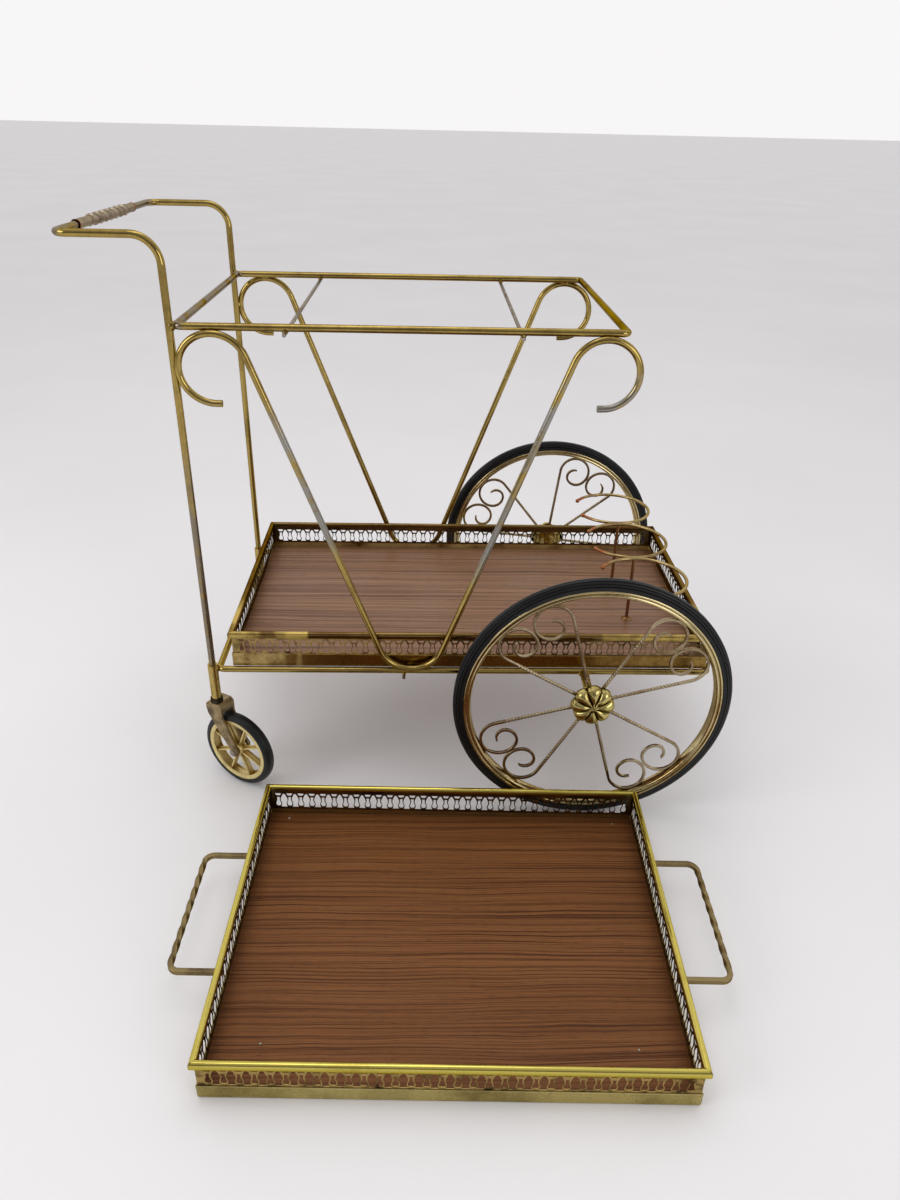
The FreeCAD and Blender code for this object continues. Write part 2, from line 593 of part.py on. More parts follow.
# ---------------------------------------------------------------- swivel casters
def caster(side, name, swivel):
    """Socket on the frame; stem, collar and fork that swivel; wheel on its axle pin."""
    y_stem = "%d * dims.half_width" % side
    tube = cylinder("socket_tube_" + name, "dims.socket_dia / 2", "dims.socket_top - dims.socket_foot")
    bore = cylinder("socket_bore_" + name, "(dims.stem_dia + dims.bore_play) / 2",
                    "dims.stem_depth + 1.5", {"z": "-1"})
    seat = cylinder("socket_seat_" + name, "dims.bar_dia / 2", "dims.socket_top - dims.upright_foot + 1",
                    {"z": "dims.upright_foot - dims.socket_foot"})
    node(cut("caster_socket_" + name, cut("socket_bored_" + name, tube, bore), seat),
         "caster_socket_" + name, "dims.upright_x", y_stem, "dims.socket_foot")

    turn = Rotation(Vector(0, 0, 1), swivel)
    stem = cylinder("stem_rod_" + name, "dims.stem_dia / 2",
                    "dims.socket_foot + dims.stem_depth - dims.crown_foot - 1", {"z": "dims.crown_foot + 1"})
    node(group("caster_stem_" + name, [stem]), "caster_stem_" + name, "dims.upright_x", y_stem, "0", turn)
    ring = cylinder("collar_ring_" + name, "dims.collar_dia / 2",
                    "dims.socket_foot - dims.crown_top - dims.swivel_play", {"z": "dims.crown_top"})
    hole = cylinder("collar_hole_" + name, "dims.stem_dia / 2", "20", {"z": "dims.crown_top - 5"})
    node(cut("caster_collar_" + name, ring, hole), "caster_collar_" + name,
         "dims.upright_x", y_stem, "0", turn)

    outer = "(dims.fork_gap + 2 * dims.arm_gauge)"
    crown = box("crown_block_" + name, "dims.arm_width", outer, "dims.crown_top - dims.crown_foot",
                {"x": "-dims.arm_width / 2", "y": "dims.fork_offset - %s / 2" % outer,
                 "z": "dims.crown_foot"})
    arms = []
    for index, y_face in enumerate(("dims.fork_offset - %s / 2 + dims.arm_gauge" % outer,
                                    "dims.fork_offset + %s / 2" % outer)):
        # drawn with its own x zero at the back edge of the crown
        back = "dims.arm_width / 2 + dims.caster_trail"
        corners = [("0", "dims.crown_top - dims.arm_drop"),
                   ("dims.arm_width", "dims.crown_top - dims.arm_drop"),
                   (back + " + dims.arm_foot / 2", "dims.caster_radius + dims.arm_drop"),
                   (back + " + dims.arm_foot / 3", "dims.caster_radius - dims.arm_foot / 2"),
                   (back + " - dims.arm_foot / 3", "dims.caster_radius - dims.arm_foot / 2"),
                   (back + " - dims.arm_foot / 2 - 1", "dims.caster_radius"),
                   ("0", "dims.crown_foot - dims.arm_web")]
        arm = padded("fork_arm_%s_%d" % (name, index), corners, "dims.arm_gauge", role="XZ_Plane")
        bind(arm, {"Placement.Base.x": "-dims.arm_width / 2", "Placement.Base.y": y_face})
        arms.append(arm)
    body = fuse("fork_body_" + name, [crown] + arms)
    across = Rotation(Vector(1, 0, 0), -90)
    pin_at = {"x": "dims.caster_trail", "y": "dims.fork_offset - %s / 2 - 1" % outer,
              "z": "dims.caster_radius"}
    pin_hole = cylinder("fork_pin_hole_" + name, "dims.caster_pin_dia / 2", outer + " + 2", pin_at, across)
    stem_hole = cylinder("fork_stem_hole_" + name, "dims.stem_dia / 2", "20",
                         {"z": "dims.crown_foot + 1"})
    fork = cut("fork_drilled_" + name, cut("fork_cast_" + name, body, pin_hole), stem_hole)
    node(fork, "caster_fork_" + name, "dims.upright_x", y_stem, "0", turn)

    shank = cylinder("pin_shank_" + name, "dims.caster_pin_dia / 2", outer,
                     dict(pin_at, y="dims.fork_offset - %s / 2" % outer), across)
    heads = []
    for index, y_head in enumerate(("dims.fork_offset - %s / 2 - dims.pin_head" % outer,
                                    "dims.fork_offset + %s / 2" % outer)):
        heads.append(cylinder("pin_head_%s_%d" % (name, index), "dims.caster_pin_dia * 0.8", "dims.pin_head",
                              dict(pin_at, y=y_head), across))
    node(fuse("caster_pin_" + name, [shank] + heads), "caster_pin_" + name,
         "dims.upright_x", y_stem, "0", turn)

    wheel_turn = Rotation(Vector(0, 0, 1), swivel) * Rotation(Vector(1, 0, 0), -90)
    angle = math.radians(swivel)
    along, aside = (math.cos(angle), math.sin(angle)), (-math.sin(angle), math.cos(angle))
    where = []
    for start, k in (("dims.upright_x", 0), (y_stem, 1)):
        where.append("%s + (%.6f) * dims.caster_trail + (%.6f) * (dims.fork_offset - "
                     "dims.caster_tyre_width / 2)" % (start, along[k], aside[k]))
    where.append("dims.caster_radius")
    width, rim = "dims.caster_tyre_width", "dims.caster_rim"
    bead, shoulder = rim + " + dims.caster_bead", "dims.caster_radius - dims.caster_shoulder"
    tyre = turned("caster_tyre_" + name, [
        (rim, "0.5"), (bead, "0"), (shoulder, "%s * 0.10" % width),
        ("dims.caster_radius", "%s * 0.36" % width), ("dims.caster_radius", "%s * 0.64" % width),
        (shoulder, "%s * 0.90" % width), (bead, width),
        (rim, "%s - 0.5" % width)])
    node(tyre, "caster_tyre_" + name, *where, turn=wheel_turn)

    bore = "(dims.caster_pin_dia + dims.bore_play) / 2"
    ring_in = "(%s - dims.caster_rim_depth)" % rim
    disc = turned("caster_felloe_" + name, [(ring_in, "1"), (rim, "0.5"), (rim, "%s - 0.5" % width),
                                            (ring_in, "%s - 1" % width)])
    boss = turned("caster_boss_" + name, [(bore, "0"), ("dims.caster_hub_dia / 2", "0"),
                                          ("dims.caster_hub_dia / 2", width), (bore, width)])
    webs = []
    for index in range(CASTER_SPOKES):
        blank = box("caster_web_%s_%d" % (name, index), ring_in + " + 1 - %s - 1" % bore,
                    "dims.caster_spoke", "%s - 2 * dims.web_inset" % width,
                    {"x": bore + " + 1", "y": "-dims.caster_spoke / 2", "z": "dims.web_inset"})
        holder = group("caster_rib_%s_%d" % (name, index), [blank])
        angle = (index + 0.5) * 360.0 / CASTER_SPOKES
        holder.Placement = Placement(Vector(), Rotation(Vector(0, 0, 1), angle))
        webs.append(holder)
    node(fuse("caster_wheel_" + name, [disc, boss] + webs), "caster_wheel_" + name,
         *where, turn=wheel_turn)


# ---------------------------------------------------------------- build
frame_bars()
side_scrolls()
edged_board("shelf", ("dims.shelf_centre", "0", "dims.lower_height + dims.bar_dia / 2"))
tray_where = ("dims.tray_x", "dims.tray_y", "0")
first_tray_node = len(nodes)
edged_board("tray", tray_where)
tray_handles(tray_where)
for piece in nodes[first_tray_node:]:
    piece.Placement = Placement(piece.Placement.Base, Rotation(Vector(0, 0, 1), size("tray_turn")))
bottle_rack()
for side, name in ((-1, "near"), (1, "far")):
    axle(side, name)
    large_wheel(side, name, size(name + "_roll"))
caster(-1, "near", size("front_swivel"))
caster(1, "far", size("back_swivel"))
doc.recompute()

# ---------------------------------------------------------------- check and write
for obj in doc.Objects:
    if "Invalid" in obj.State or "Error" in obj.State:
        raise RuntimeError("%s failed: %s" % (obj.Label, obj.State))
whole = FreeCAD.BoundBox()
for piece in nodes:
    if piece.Shape.isNull() or not piece.Shape.isValid():
        raise RuntimeError("%s has no valid shape" % piece.Label)
    whole.add(piece.Shape.BoundBox)
os.makedirs("parts", exist_ok=True)
for piece in nodes:
    piece.Shape.exportStep("parts/%s.step" % piece.Label)
print("%d nodes, box %.2f..%.2f, %.2f..%.2f, %.2f..%.2f mm" % (
    len(nodes), whole.XMin, whole.XMax, whole.YMin, whole.YMax, whole.ZMin, whole.ZMax))
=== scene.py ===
import json
from math import asin, atan2, ceil, copysign, cos, dist, exp, hypot, pi, radians, sin, sqrt, tan

import bpy
from mathutils import Matrix, Vector, noise


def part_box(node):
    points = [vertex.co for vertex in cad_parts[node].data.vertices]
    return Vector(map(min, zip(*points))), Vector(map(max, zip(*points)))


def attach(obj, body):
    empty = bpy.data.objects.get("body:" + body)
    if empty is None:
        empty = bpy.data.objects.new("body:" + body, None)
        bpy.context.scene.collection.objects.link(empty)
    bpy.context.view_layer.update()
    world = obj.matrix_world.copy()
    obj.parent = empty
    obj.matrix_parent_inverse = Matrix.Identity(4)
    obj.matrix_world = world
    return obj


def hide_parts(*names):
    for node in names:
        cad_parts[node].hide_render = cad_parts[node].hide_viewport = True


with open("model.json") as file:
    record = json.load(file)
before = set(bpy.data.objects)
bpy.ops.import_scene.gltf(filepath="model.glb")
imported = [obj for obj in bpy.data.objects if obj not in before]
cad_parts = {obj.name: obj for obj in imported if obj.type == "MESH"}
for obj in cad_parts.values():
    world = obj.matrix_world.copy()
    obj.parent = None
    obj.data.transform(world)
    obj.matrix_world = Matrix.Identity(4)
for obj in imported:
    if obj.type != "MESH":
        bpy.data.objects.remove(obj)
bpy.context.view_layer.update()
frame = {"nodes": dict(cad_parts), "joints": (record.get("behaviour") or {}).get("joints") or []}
nodes = frame["nodes"]
joints = {joint["name"]: joint for joint in frame["joints"]}

MM = 0.001
SIDES = {"near": -1, "far": 1}
BOARDS = {"shelf": "cart", "tray": "tray"}

# sizes that the frame's boxes don't give; angles in degrees, grooves as shares of a tread's outline
SPOKE_START = 12.0 * MM
CURL_RADII = (24.2 * MM, 17.0 * MM, 12.0 * MM)
CURL_TURNS = (227.5, 95.0, 140.0)
WHEEL_ROLL = {"near": 38.0, "far": -61.0}
SPOKES = 8
CASTER_SPOKES = 8
HANDLE_BEND = 11.0 * MM
WINDOW_PITCH = 14.85 * MM
RAIL_LIFT = 0.8 * MM
RAIL_DEPTH = 7.2 * MM
BASE_TOP = 18.5 * MM
MOULDING_DEPTH = 9.0 * MM
STRIP_GAUGE = 1.0 * MM
STRIP_INSET = 1.35 * MM
SCROLL_TOP = 39.0 * MM
TYRE_NECK = 7.6 * MM
TYRE_GROOVES = (0.15, 0.25, 0.36, 0.5, 0.64, 0.75, 0.85)
CASTER_GROOVES = (0.16, 0.22, 0.36, 0.64, 0.78, 0.84)
CASTER_WIDTH = 16.0 * MM


# ---------------------------------------------------------------- shader helpers
class Shader:
    """A node material, built with short calls. A value may be a socket or a number."""

    def __init__(self, name, world=None):
        self.material = world or bpy.data.materials.new(name)
        self.material.use_nodes = True
        self.tree = self.material.node_tree
        self.surface = self.tree.nodes["Background" if world else "Principled BSDF"]
        self.place = self.add("ShaderNodeTexCoord").outputs["Generated" if world else "Object"]

    def add(self, kind, inputs=None, **settings):
        made = self.tree.nodes.new(kind)
        for key, setting in settings.items():
            setattr(made, key, setting)
        for key, source in (inputs or {}).items():
            self.feed(made.inputs[key], source)
        return made

    def feed(self, socket, source):
        if isinstance(source, bpy.types.NodeSocket):
            self.tree.links.new(source, socket)
        else:
            socket.default_value = source

    def stretched(self, scale, where=None):
        made = self.add("ShaderNodeMapping", {"Vector": where or self.place, "Scale": scale})
        return made.outputs[0]

    def noise(self, scale, detail=4.0, rough=0.55, where=None, warp=0.0):
        made = self.add("ShaderNodeTexNoise", {
            "Vector": where or self.place, "Scale": scale, "Detail": detail,
            "Roughness": rough, "Distortion": warp})
        return made.outputs["Fac"]

    def ramp(self, source, *stops):
        made = self.add("ShaderNodeValToRGB", {"Fac": source})
        elements = made.color_ramp.elements
        while len(elements) < len(stops):
            elements.new(0.5)
        for element, (position, colour) in zip(elements, stops):
            element.position = position
            element.color = (*colour, 1.0) if hasattr(colour, "__len__") else (colour,) * 3 + (1.0,)
        return made.outputs["Color"]

    def spread(self, source, low, high, to_low=0.0, to_high=1.0):
        return self.add("ShaderNodeMapRange", {
            "Value": source, "From Min": low, "From Max": high,
            "To Min": to_low, "To Max": to_high}).outputs["Result"]

    def math(self, operation, one, two=0.0):
        return self.add("ShaderNodeMath", {0: one, 1: two}, operation=operation).outputs[0]

    def band(self, axis, start, end):
        """0 to 1 between two places along an axis."""
        split = self.add("ShaderNodeSeparateXYZ", {"Vector": self.place})
        return self.spread(split.outputs[axis], start, end)

    def recess(self, distance):
        """1 in a narrow corner, 0 in the open: the mask for painted shade."""
        hollow = self.add("ShaderNodeAmbientOcclusion", {"Distance": distance}, samples=6)
        return self.spread(hollow.outputs["AO"], 0.92, 0.45)

    def mix(self, factor, one, two, how="MIX"):
        made = self.add("ShaderNodeMix", data_type="RGBA", blend_type=how)
        self.feed(made.inputs["Factor"], factor)
        for key, source in (("A", one), ("B", two)):
            socket = [s for s in made.inputs if s.name == key and s.type == "RGBA"][0]
            self.feed(socket, (*source, 1.0) if isinstance(source, tuple) else source)
        return [s for s in made.outputs if s.type == "RGBA"][0]

    def bump(self, height, strength, distance, under=None):
        made = self.add("ShaderNodeBump", {"Height": height, "Strength": strength,
                                           "Distance": distance})
        if under is not None:
            self.feed(made.inputs["Normal"], under)
        return made.outputs["Normal"]

    def finish(self, **sockets):
        for key, source in sockets.items():
            if isinstance(source, tuple):
                source = (*source, 1.0)
            self.feed(self.surface.inputs[key.replace("_", " ")], source)
        return self.material


def metal(name, bright, dark, rough=(0.2, 0.42), patch=14.0, stain=(0.46, 0.66), speck=0.35,
          aged=None, zones=(), dirt_and_shade=0.0):
    """Plated metal: tarnish in soft patches, fine dark specks, uneven gloss, worn zones, painted shade
    in recesses.

    A zone is a list of bands, each an axis and the two places in metres where it starts and is
    full. The aged colour shows where all the bands of a zone meet.
    """
    s = Shader(name)
    clouds = s.noise(patch, 6.0, 0.62, warp=0.4)
    grain = s.noise(patch * 22, 3.0, 0.6)
    mottled = s.math("ADD", s.math("MULTIPLY", clouds, 0.8), s.math("MULTIPLY", grain, 0.2))
    stained = s.spread(mottled, *stain)
    colour = s.mix(stained, bright, dark)
    gloss = s.spread(stained, 0.0, 1.0, *rough)
    paleness = EDGE_PALENESS
    for zone in zones:
        mask = s.spread(s.noise(patch * 3, 4.0), 0.34, 0.52)
        for limit in zone:
            mask = s.math("MULTIPLY", mask, s.band(*limit))
        colour = s.mix(mask, colour, aged)
        gloss = s.math("ADD", gloss, s.math("MULTIPLY", mask, 0.14))
        paleness = s.math("ADD", paleness, s.math("MULTIPLY", mask, 0.4))
    # painted shade: the last argument is how far the darkening reaches into recesses and corners, where
    # shadow falls
    if dirt_and_shade:
        colour = s.mix(s.recess(dirt_and_shade), colour, tuple(0.4 * c for c in dark))
    spots = s.spread(s.noise(patch * 60, 2.0, 0.5), 0.62, 0.72, 0.0, speck)
    colour = s.mix(spots, colour, tuple(0.35 * c for c in dark))
    gloss = s.math("ADD", gloss, s.math("MULTIPLY", spots, 0.25))
    relief = s.bump(grain, 0.05, 0.0003, s.bump(s.noise(patch * 5, 2.0), 0.08, 0.002))
    edge = s.mix(paleness, colour, PALE_EDGE)
    return s.finish(Base_Color=colour, Metallic=1.0, Roughness=gloss, Normal=relief,
                    Specular_Tint=edge)


def laminate(name, light, mid, dark, rough, shine):
    """Satin wood-grain laminate: nearly straight streaks along X, bands of tone, fine pores, painted
    shade next to the rails.
    """
    s = Shader(name)
    wave = s.noise(1.0, 3.0, 0.5, s.stretched((4.0, 9.0, 1.0)))
    offset = s.add("ShaderNodeCombineXYZ", {"Y": s.spread(wave, 0.0, 1.0, -0.007, 0.007)})
    place = s.add("ShaderNodeVectorMath", {0: s.place, 1: offset.outputs[0]},
                  operation="ADD").outputs[0]

    def streaks(x, y, detail, rough):
        return s.noise(1.0, detail, rough, s.stretched((x, y, 1.0), place))

    bands = streaks(0.8, 150.0, 5.0, 0.6)
    lines = streaks(1.2, 430.0, 3.0, 0.6)
    fine = streaks(4.0, 900.0, 3.0, 0.7)
    tone = streaks(0.6, 9.0, 2.0, 0.5)
    pores = streaks(60.0, 1700.0, 2.0, 0.5)
    mixed = s.math("ADD", s.math("MULTIPLY", bands, 0.26), s.math("MULTIPLY", lines, 0.40))
    mixed = s.math("ADD", mixed, s.math("MULTIPLY", fine, 0.34))
    colour = s.ramp(mixed, (0.425, dark), (0.475, mid), (0.530, light))
    colour = s.mix(s.spread(tone, 0.38, 0.66, 0.0, 0.35), colour, mid)
    ticks = s.spread(pores, 0.58, 0.68, 0.0, 0.5)
    colour = s.mix(ticks, colour, tuple(0.5 * c for c in dark))
    # painted shade: the board darkens next to the rails and strips, where their shadow falls
    colour = s.mix(s.math("MULTIPLY", s.recess(0.03), 0.55), colour, dark)
    gloss = s.spread(mixed, 0.35, 0.65, rough + 0.06, rough - 0.04)
    smears = s.spread(s.noise(7.0, 5.0, 0.6), 0.4, 0.65, -0.05, 0.09)
    relief = s.bump(s.math("SUBTRACT", fine, ticks), 0.10, 0.0002)
    return s.finish(Base_Color=colour, Roughness=s.math("ADD", gloss, smears), Normal=relief,
                    Specular_IOR_Level=shine)


def rubber(name, shade, dust, rough=0.5):
    s = Shader(name)
    film = s.spread(s.noise(26.0, 6.0, 0.65), 0.45, 0.72, 0.0, 0.5)
    colour = s.mix(film, shade, dust)
    gloss = s.spread(s.noise(70.0, 3.0), 0.3, 0.7, rough - 0.07, rough + 0.12)
    relief = s.bump(s.noise(1900.0, 2.0), 0.22, 0.0002)
    return s.finish(Base_Color=colour, Roughness=gloss, Normal=relief, Specular_IOR_Level=0.30)


def cast_metal(name, light, dark):
    """A rough casting, lacquered and browned, with pits and rubbed high spots."""
    s = Shader(name)
    clouds = s.noise(60.0, 6.0, 0.65, warp=0.5)
    colour = s.ramp(clouds, (0.34, dark), (0.56, light), (0.74, tuple(1.25 * c for c in light)))
    pits = s.noise(650.0, 3.0, 0.6)
    relief = s.bump(pits, 0.35, 0.0005, s.bump(s.noise(170.0, 3.0), 0.25, 0.0012))
    gloss = s.spread(clouds, 0.3, 0.7, 0.62, 0.38)
    return s.finish(Base_Color=colour, Metallic=0.75, Roughness=gloss, Normal=relief)


def moulded(name, face, inner, rough=0.3):
    """Metallised plastic: cream gold, painted shade of deeper gold in the recesses, faint dirt."""
    s = Shader(name)
    # painted shade: the recesses take the deeper gold, darker as if in shadow
    colour = s.mix(s.recess(0.012), face, inner)
    dirt_and_shade = s.spread(s.noise(120.0, 5.0, 0.65), 0.52, 0.75, 0.0, 0.5)
    colour = s.mix(dirt_and_shade, colour, tuple(0.5 * c for c in inner))
    gloss = s.spread(s.noise(45.0, 4.0), 0.3, 0.7, rough - 0.08, rough + 0.14)
    relief = s.bump(s.noise(500.0, 2.0), 0.12, 0.0003)
    return s.finish(Base_Color=colour, Metallic=0.45, Roughness=gloss, Normal=relief)


BRASS = (0.38, 0.275, 0.082)
BRASS_DARK = (0.17, 0.108, 0.035)
GREY_BROWN = (0.24, 0.20, 0.145)
PALE_EDGE = (0.92, 0.90, 0.86)
EDGE_PALENESS = 0.22  # how far a metal turns pale at grazing angles
BARE_STEEL = (0.30, 0.285, 0.25)
COPPER = (0.36, 0.12, 0.05)


def bar_brass(name, aged=GREY_BROWN, zones=()):
    return metal(name, BRASS, BRASS_DARK, (0.09, 0.20), 11.0, (0.47, 0.68), 0.25, aged, zones)


materials = {
    "bar_brass": bar_brass("frame_brass"),
    "handle_brass": bar_brass(
        "handle_brass", zones=([("Z", 0.50, 0.40), ("Y", 0.20, 0.15)], [("X", -0.380, -0.387)])),
    "top_brass": bar_brass("top_frame_brass", zones=([("X", -0.262, -0.270)],)),
    "near_v_brass": bar_brass(
        "near_v_brass", BARE_STEEL,
        ([("X", 0.015, 0.05), ("Z", 0.30, 0.36), ("Z", 0.60, 0.55)],
         [("X", -0.09, -0.12), ("Z", 0.55, 0.50), ("Z", 0.34, 0.38)])),
    # painted shade darkens the valleys between the grip's ridges
    "grip_metal": metal(
        "grip_sheet", (0.41, 0.345, 0.26), (0.22, 0.17, 0.12), (0.26, 0.46), 45.0, dirt_and_shade=0.003),
    "grip_edge": metal("grip_copper_edge", COPPER, (0.14, 0.04, 0.02), (0.3, 0.5), 60.0),
    "rod_steel": metal("worn_rod", (0.42, 0.38, 0.33), (0.22, 0.17, 0.12), (0.28, 0.5), 25.0),
    "rail_brass": metal(
        "tray_rail_brass", (0.60, 0.50, 0.115), (0.36, 0.28, 0.045), (0.09, 0.17), 9.0, (0.52, 0.75),
        0.15),
    "shelf_rail_brass": metal(
        "shelf_rail_brass", (0.21, 0.135, 0.045), (0.11, 0.055, 0.018), (0.14, 0.28), 6.0, (0.44, 0.62),
        0.25, (0.62, 0.45, 0.13),
        ([("Y", 0.12, 0.08), ("X", -0.150, -0.153)], [("Y", 0.12, 0.08), ("X", 0.235, 0.241)])),
    "moulding_brass": metal(
        "moulding_brass", (0.55, 0.46, 0.20), (0.28, 0.215, 0.085), (0.26, 0.44), 16.0, (0.42, 0.66),
        0.75),
    "shelf_moulding_brass": metal(
        "shelf_moulding_brass", (0.34, 0.215, 0.06), (0.14, 0.07, 0.02), (0.20, 0.40), 7.0,
        (0.42, 0.62), 0.5, (0.72, 0.57, 0.25),
        ([("Y", 0.12, 0.08), ("X", -0.160, -0.166)], [("Y", 0.30, 0.34)])),
    "gallery_brass": metal(
        "gallery_brass", (0.22, 0.155, 0.065), (0.055, 0.032, 0.016), (0.26, 0.46), 22.0, (0.40, 0.60),
        0.5, (0.46, 0.33, 0.12),
        ([("Y", -0.04, -0.02), ("Y", 0.05, 0.03), ("X", 0.05, -0.05)], [("Y", -0.440, -0.445)])),
    "rack_wire": metal(
        "rack_wire", (0.42, 0.315, 0.14), (0.22, 0.14, 0.07), (0.24, 0.44), 30.0, aged=COPPER,
        zones=([("X", 0.262, 0.254)],)),
    "copper_wire": metal("rack_copper", (0.29, 0.155, 0.07), (0.14, 0.075, 0.035), (0.26, 0.45), 40.0),
    # painted shade darkens the hollows of the rim's channel and beads
    "rim_brass": metal(
        "rim_brass", (0.60, 0.50, 0.27), (0.27, 0.165, 0.06), (0.07, 0.20), 9.0, (0.50, 0.66), 0.25,
        dirt_and_shade=0.004),
    "spoke_metal": metal(
        "spoke_metal", (0.40, 0.33, 0.215), (0.19, 0.12, 0.06), (0.18, 0.36), 14.0, (0.44, 0.62)),
    # painted shade darkens the creases of the fluted cap
    "hub_brass": metal(
        "hub_cap_brass", (0.55, 0.46, 0.17), (0.24, 0.155, 0.05), (0.18, 0.38), 45.0, (0.48, 0.68), 0.4,
        dirt_and_shade=0.006),
    "socket_brass": metal("socket_brass", (0.52, 0.39, 0.13), (0.27, 0.18, 0.06), (0.2, 0.4), 60.0),
    "axle_steel": metal("axle_steel", (0.42, 0.38, 0.31), (0.20, 0.155, 0.11), (0.26, 0.46), 50.0),
    "cast_brass": cast_metal("cast_fork", (0.33, 0.245, 0.125), (0.13, 0.09, 0.05)),
    "dark_collar": metal("dark_collar", (0.055, 0.045, 0.035), (0.02, 0.015, 0.012), (0.3, 0.5)),
    # the second colour is painted shade in the wheel's recesses; half of it is the dirt colour
    "caster_gold": moulded("caster_gold", (0.74, 0.61, 0.27), (0.46, 0.28, 0.05)),
    "handle_bar": metal(
        "tray_handle_bar", (0.27, 0.205, 0.095), (0.12, 0.082, 0.042), (0.28, 0.46), 30.0),
    "tyre_rubber": rubber("tyre_rubber", (0.004, 0.004, 0.0045), (0.013, 0.0125, 0.012), 0.38),
    "shelf_laminate": laminate(
        "shelf_laminate", (0.30, 0.158, 0.082), (0.182, 0.084, 0.041), (0.072, 0.030, 0.013), 0.36,
        0.24),
    "tray_laminate": laminate(
        "tray_laminate", (0.215, 0.084, 0.027), (0.128, 0.045, 0.0125), (0.040, 0.0125, 0.0035), 0.42,
        0.14),
}


# ---------------------------------------------------------------- mesh helpers
def piece(name, verts, faces, body, slot, replaces=(), material=None, crease=32.0):
    mesh = bpy.data.meshes.new(name)
    mesh.from_pydata([tuple(v) for v in verts], [], faces)
    mesh.validate()
    obj = bpy.data.objects.new(name, mesh)
    bpy.context.scene.collection.objects.link(obj)
    mesh.materials.append(materials[material or slot])
    mesh.shade_smooth()
    mesh.set_sharp_from_angle(angle=radians(crease))
    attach(obj, body)
    if replaces:
        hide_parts(*replaces)
    return obj


class Build:
    """Gathers several meshes into one list of points and faces."""

    def __init__(self):
        self.verts = []
        self.faces = []

    def add(self, verts, faces, matrix=None):
        base = len(self.verts)
        for v in verts:
            self.verts.append(matrix @ Vector(v) if matrix else Vector(v))
        flip = matrix is not None and matrix.determinant() < 0
        for face in faces:
            face = [base + i for i in face]
            self.faces.append(face[::-1] if flip else face)
        return self

    def made(self, name, body, slot, replaces=(), **options):
        return piece(name, self.verts, self.faces, body, slot, replaces, **options)


def turned(degrees, axis="Z"):
    return Matrix.Rotation(radians(degrees), 4, axis)


def share_of(value, low, high):
    """0 at low, 1 at high, and no further."""
    return min(max((value - low) / (high - low), 0.0), 1.0)


def line_length(path):
    return sum((b - a).length for a, b in zip(path, path[1:]))


def joined(rings, around, closed=False):
    """Faces between rings of points, for a number of steps from ring to ring."""
    faces = []
    for i in range(rings):
        low, high = i * around, ((i + 1) % rings if closed else i + 1) * around
        for k in range(around):
            nxt = (k + 1) % around
            faces.append([low + k, high + k, high + nxt, low + nxt])
    return faces


def circle(radius, steps=20):
    angles = [2 * pi * k / steps for k in range(steps)]
    return [(radius * cos(a), radius * sin(a)) for a in angles]


def rounded_square(half, corner, steps=4):
    points = []
    for quarter in range(4):
        start = quarter * pi / 2
        middle = (half - corner) * sqrt(2)
        centre = (middle * cos(start + pi / 4), middle * sin(start + pi / 4))
        for k in range(steps + 1):
            a = start + pi / 2 * k / steps
            points.append((centre[0] + corner * cos(a), centre[1] + corner * sin(a)))
    return points


def bent(corners, radii, arc_steps):
    """Points of straight runs joined by tangent arcs at the inner corners."""
    points = [corners[0]]
    for before, corner, after, radius in zip(corners, corners[1:], corners[2:], radii):
        back, ahead = (before - corner).normalized(), (after - corner).normalized()
        half = back.angle(ahead) / 2
        centre = corner + (back + ahead).normalized() * (radius / sin(half))
        first = corner + back * (radius / tan(half)) - centre
        last = corner + ahead * (radius / tan(half)) - centre
        for k in range(arc_steps + 1):
            points.append(centre + first.normalized().slerp(last.normalized(), k / arc_steps) * radius)
    return points + [corners[-1]]


def filled(points, step):
    """The same line with no gap between points longer than the step."""
    result = [points[0]]
    for one, two in zip(points, points[1:]):
        parts = max(1, ceil((two - one).length / step - 1e-6))
        result += [one.lerp(two, k / parts) for k in range(1, parts + 1)]
    return result


def curl(start, moves, step):
    """A path in XY that sets out along X: a move is (length,) or (radius, degrees to the left)."""
    points = [Vector((start, 0.0, 0.0))]
    angle = 0.0
    for move in moves:
        turn = radians(move[1]) if len(move) > 1 else 0.0
        length = abs(turn) * move[0] if turn else move[0]
        parts = max(2, ceil(length / step))
        for _ in range(parts):
            angle += turn / parts / 2
            chord = length / parts
            points.append(points[-1] + Vector((cos(angle), sin(angle), 0)) * chord)
            angle += turn / parts / 2
    return points


def sweep(path, section, turn, scale=None):
    """Rings of the section along a level path; turn and scale take the distance along it."""
    sides, last = len(section), len(path) - 1
    verts, faces = [], []
    distance = 0.0
    for i, point in enumerate(path):
        before = path[max(i - 1, 0)]
        tangent = (path[min(i + 1, last)] - before).normalized()
        distance += (point - before).length
        angle = turn(distance)
        wide, high = scale(distance) if scale else (1.0, 1.0)
        for a, b in section:
            x = (a * cos(angle) - b * sin(angle)) * wide
            y = (a * sin(angle) + b * cos(angle)) * high
            verts.append(point + Vector((tangent.y * x, -tangent.x * x, y)))
    for i in range(last):
        low, high = i * sides, (i + 1) * sides
        for k in range(sides):
            nxt = (k + 1) % sides
            faces.append([low + k, low + nxt, high + nxt, high + k])
    faces.append(list(range(sides))[::-1])
    faces.append([last * sides + k for k in range(sides)])
    return verts, faces


def lathe(outline, segments=96):
    """Turns a closed outline of (radius, height) about Z."""
    verts = []
    for step in range(segments):
        a = 2 * pi * step / segments
        verts += [(r * cos(a), r * sin(a), h) for r, h in outline]
    return verts, joined(segments, len(outline), closed=True)


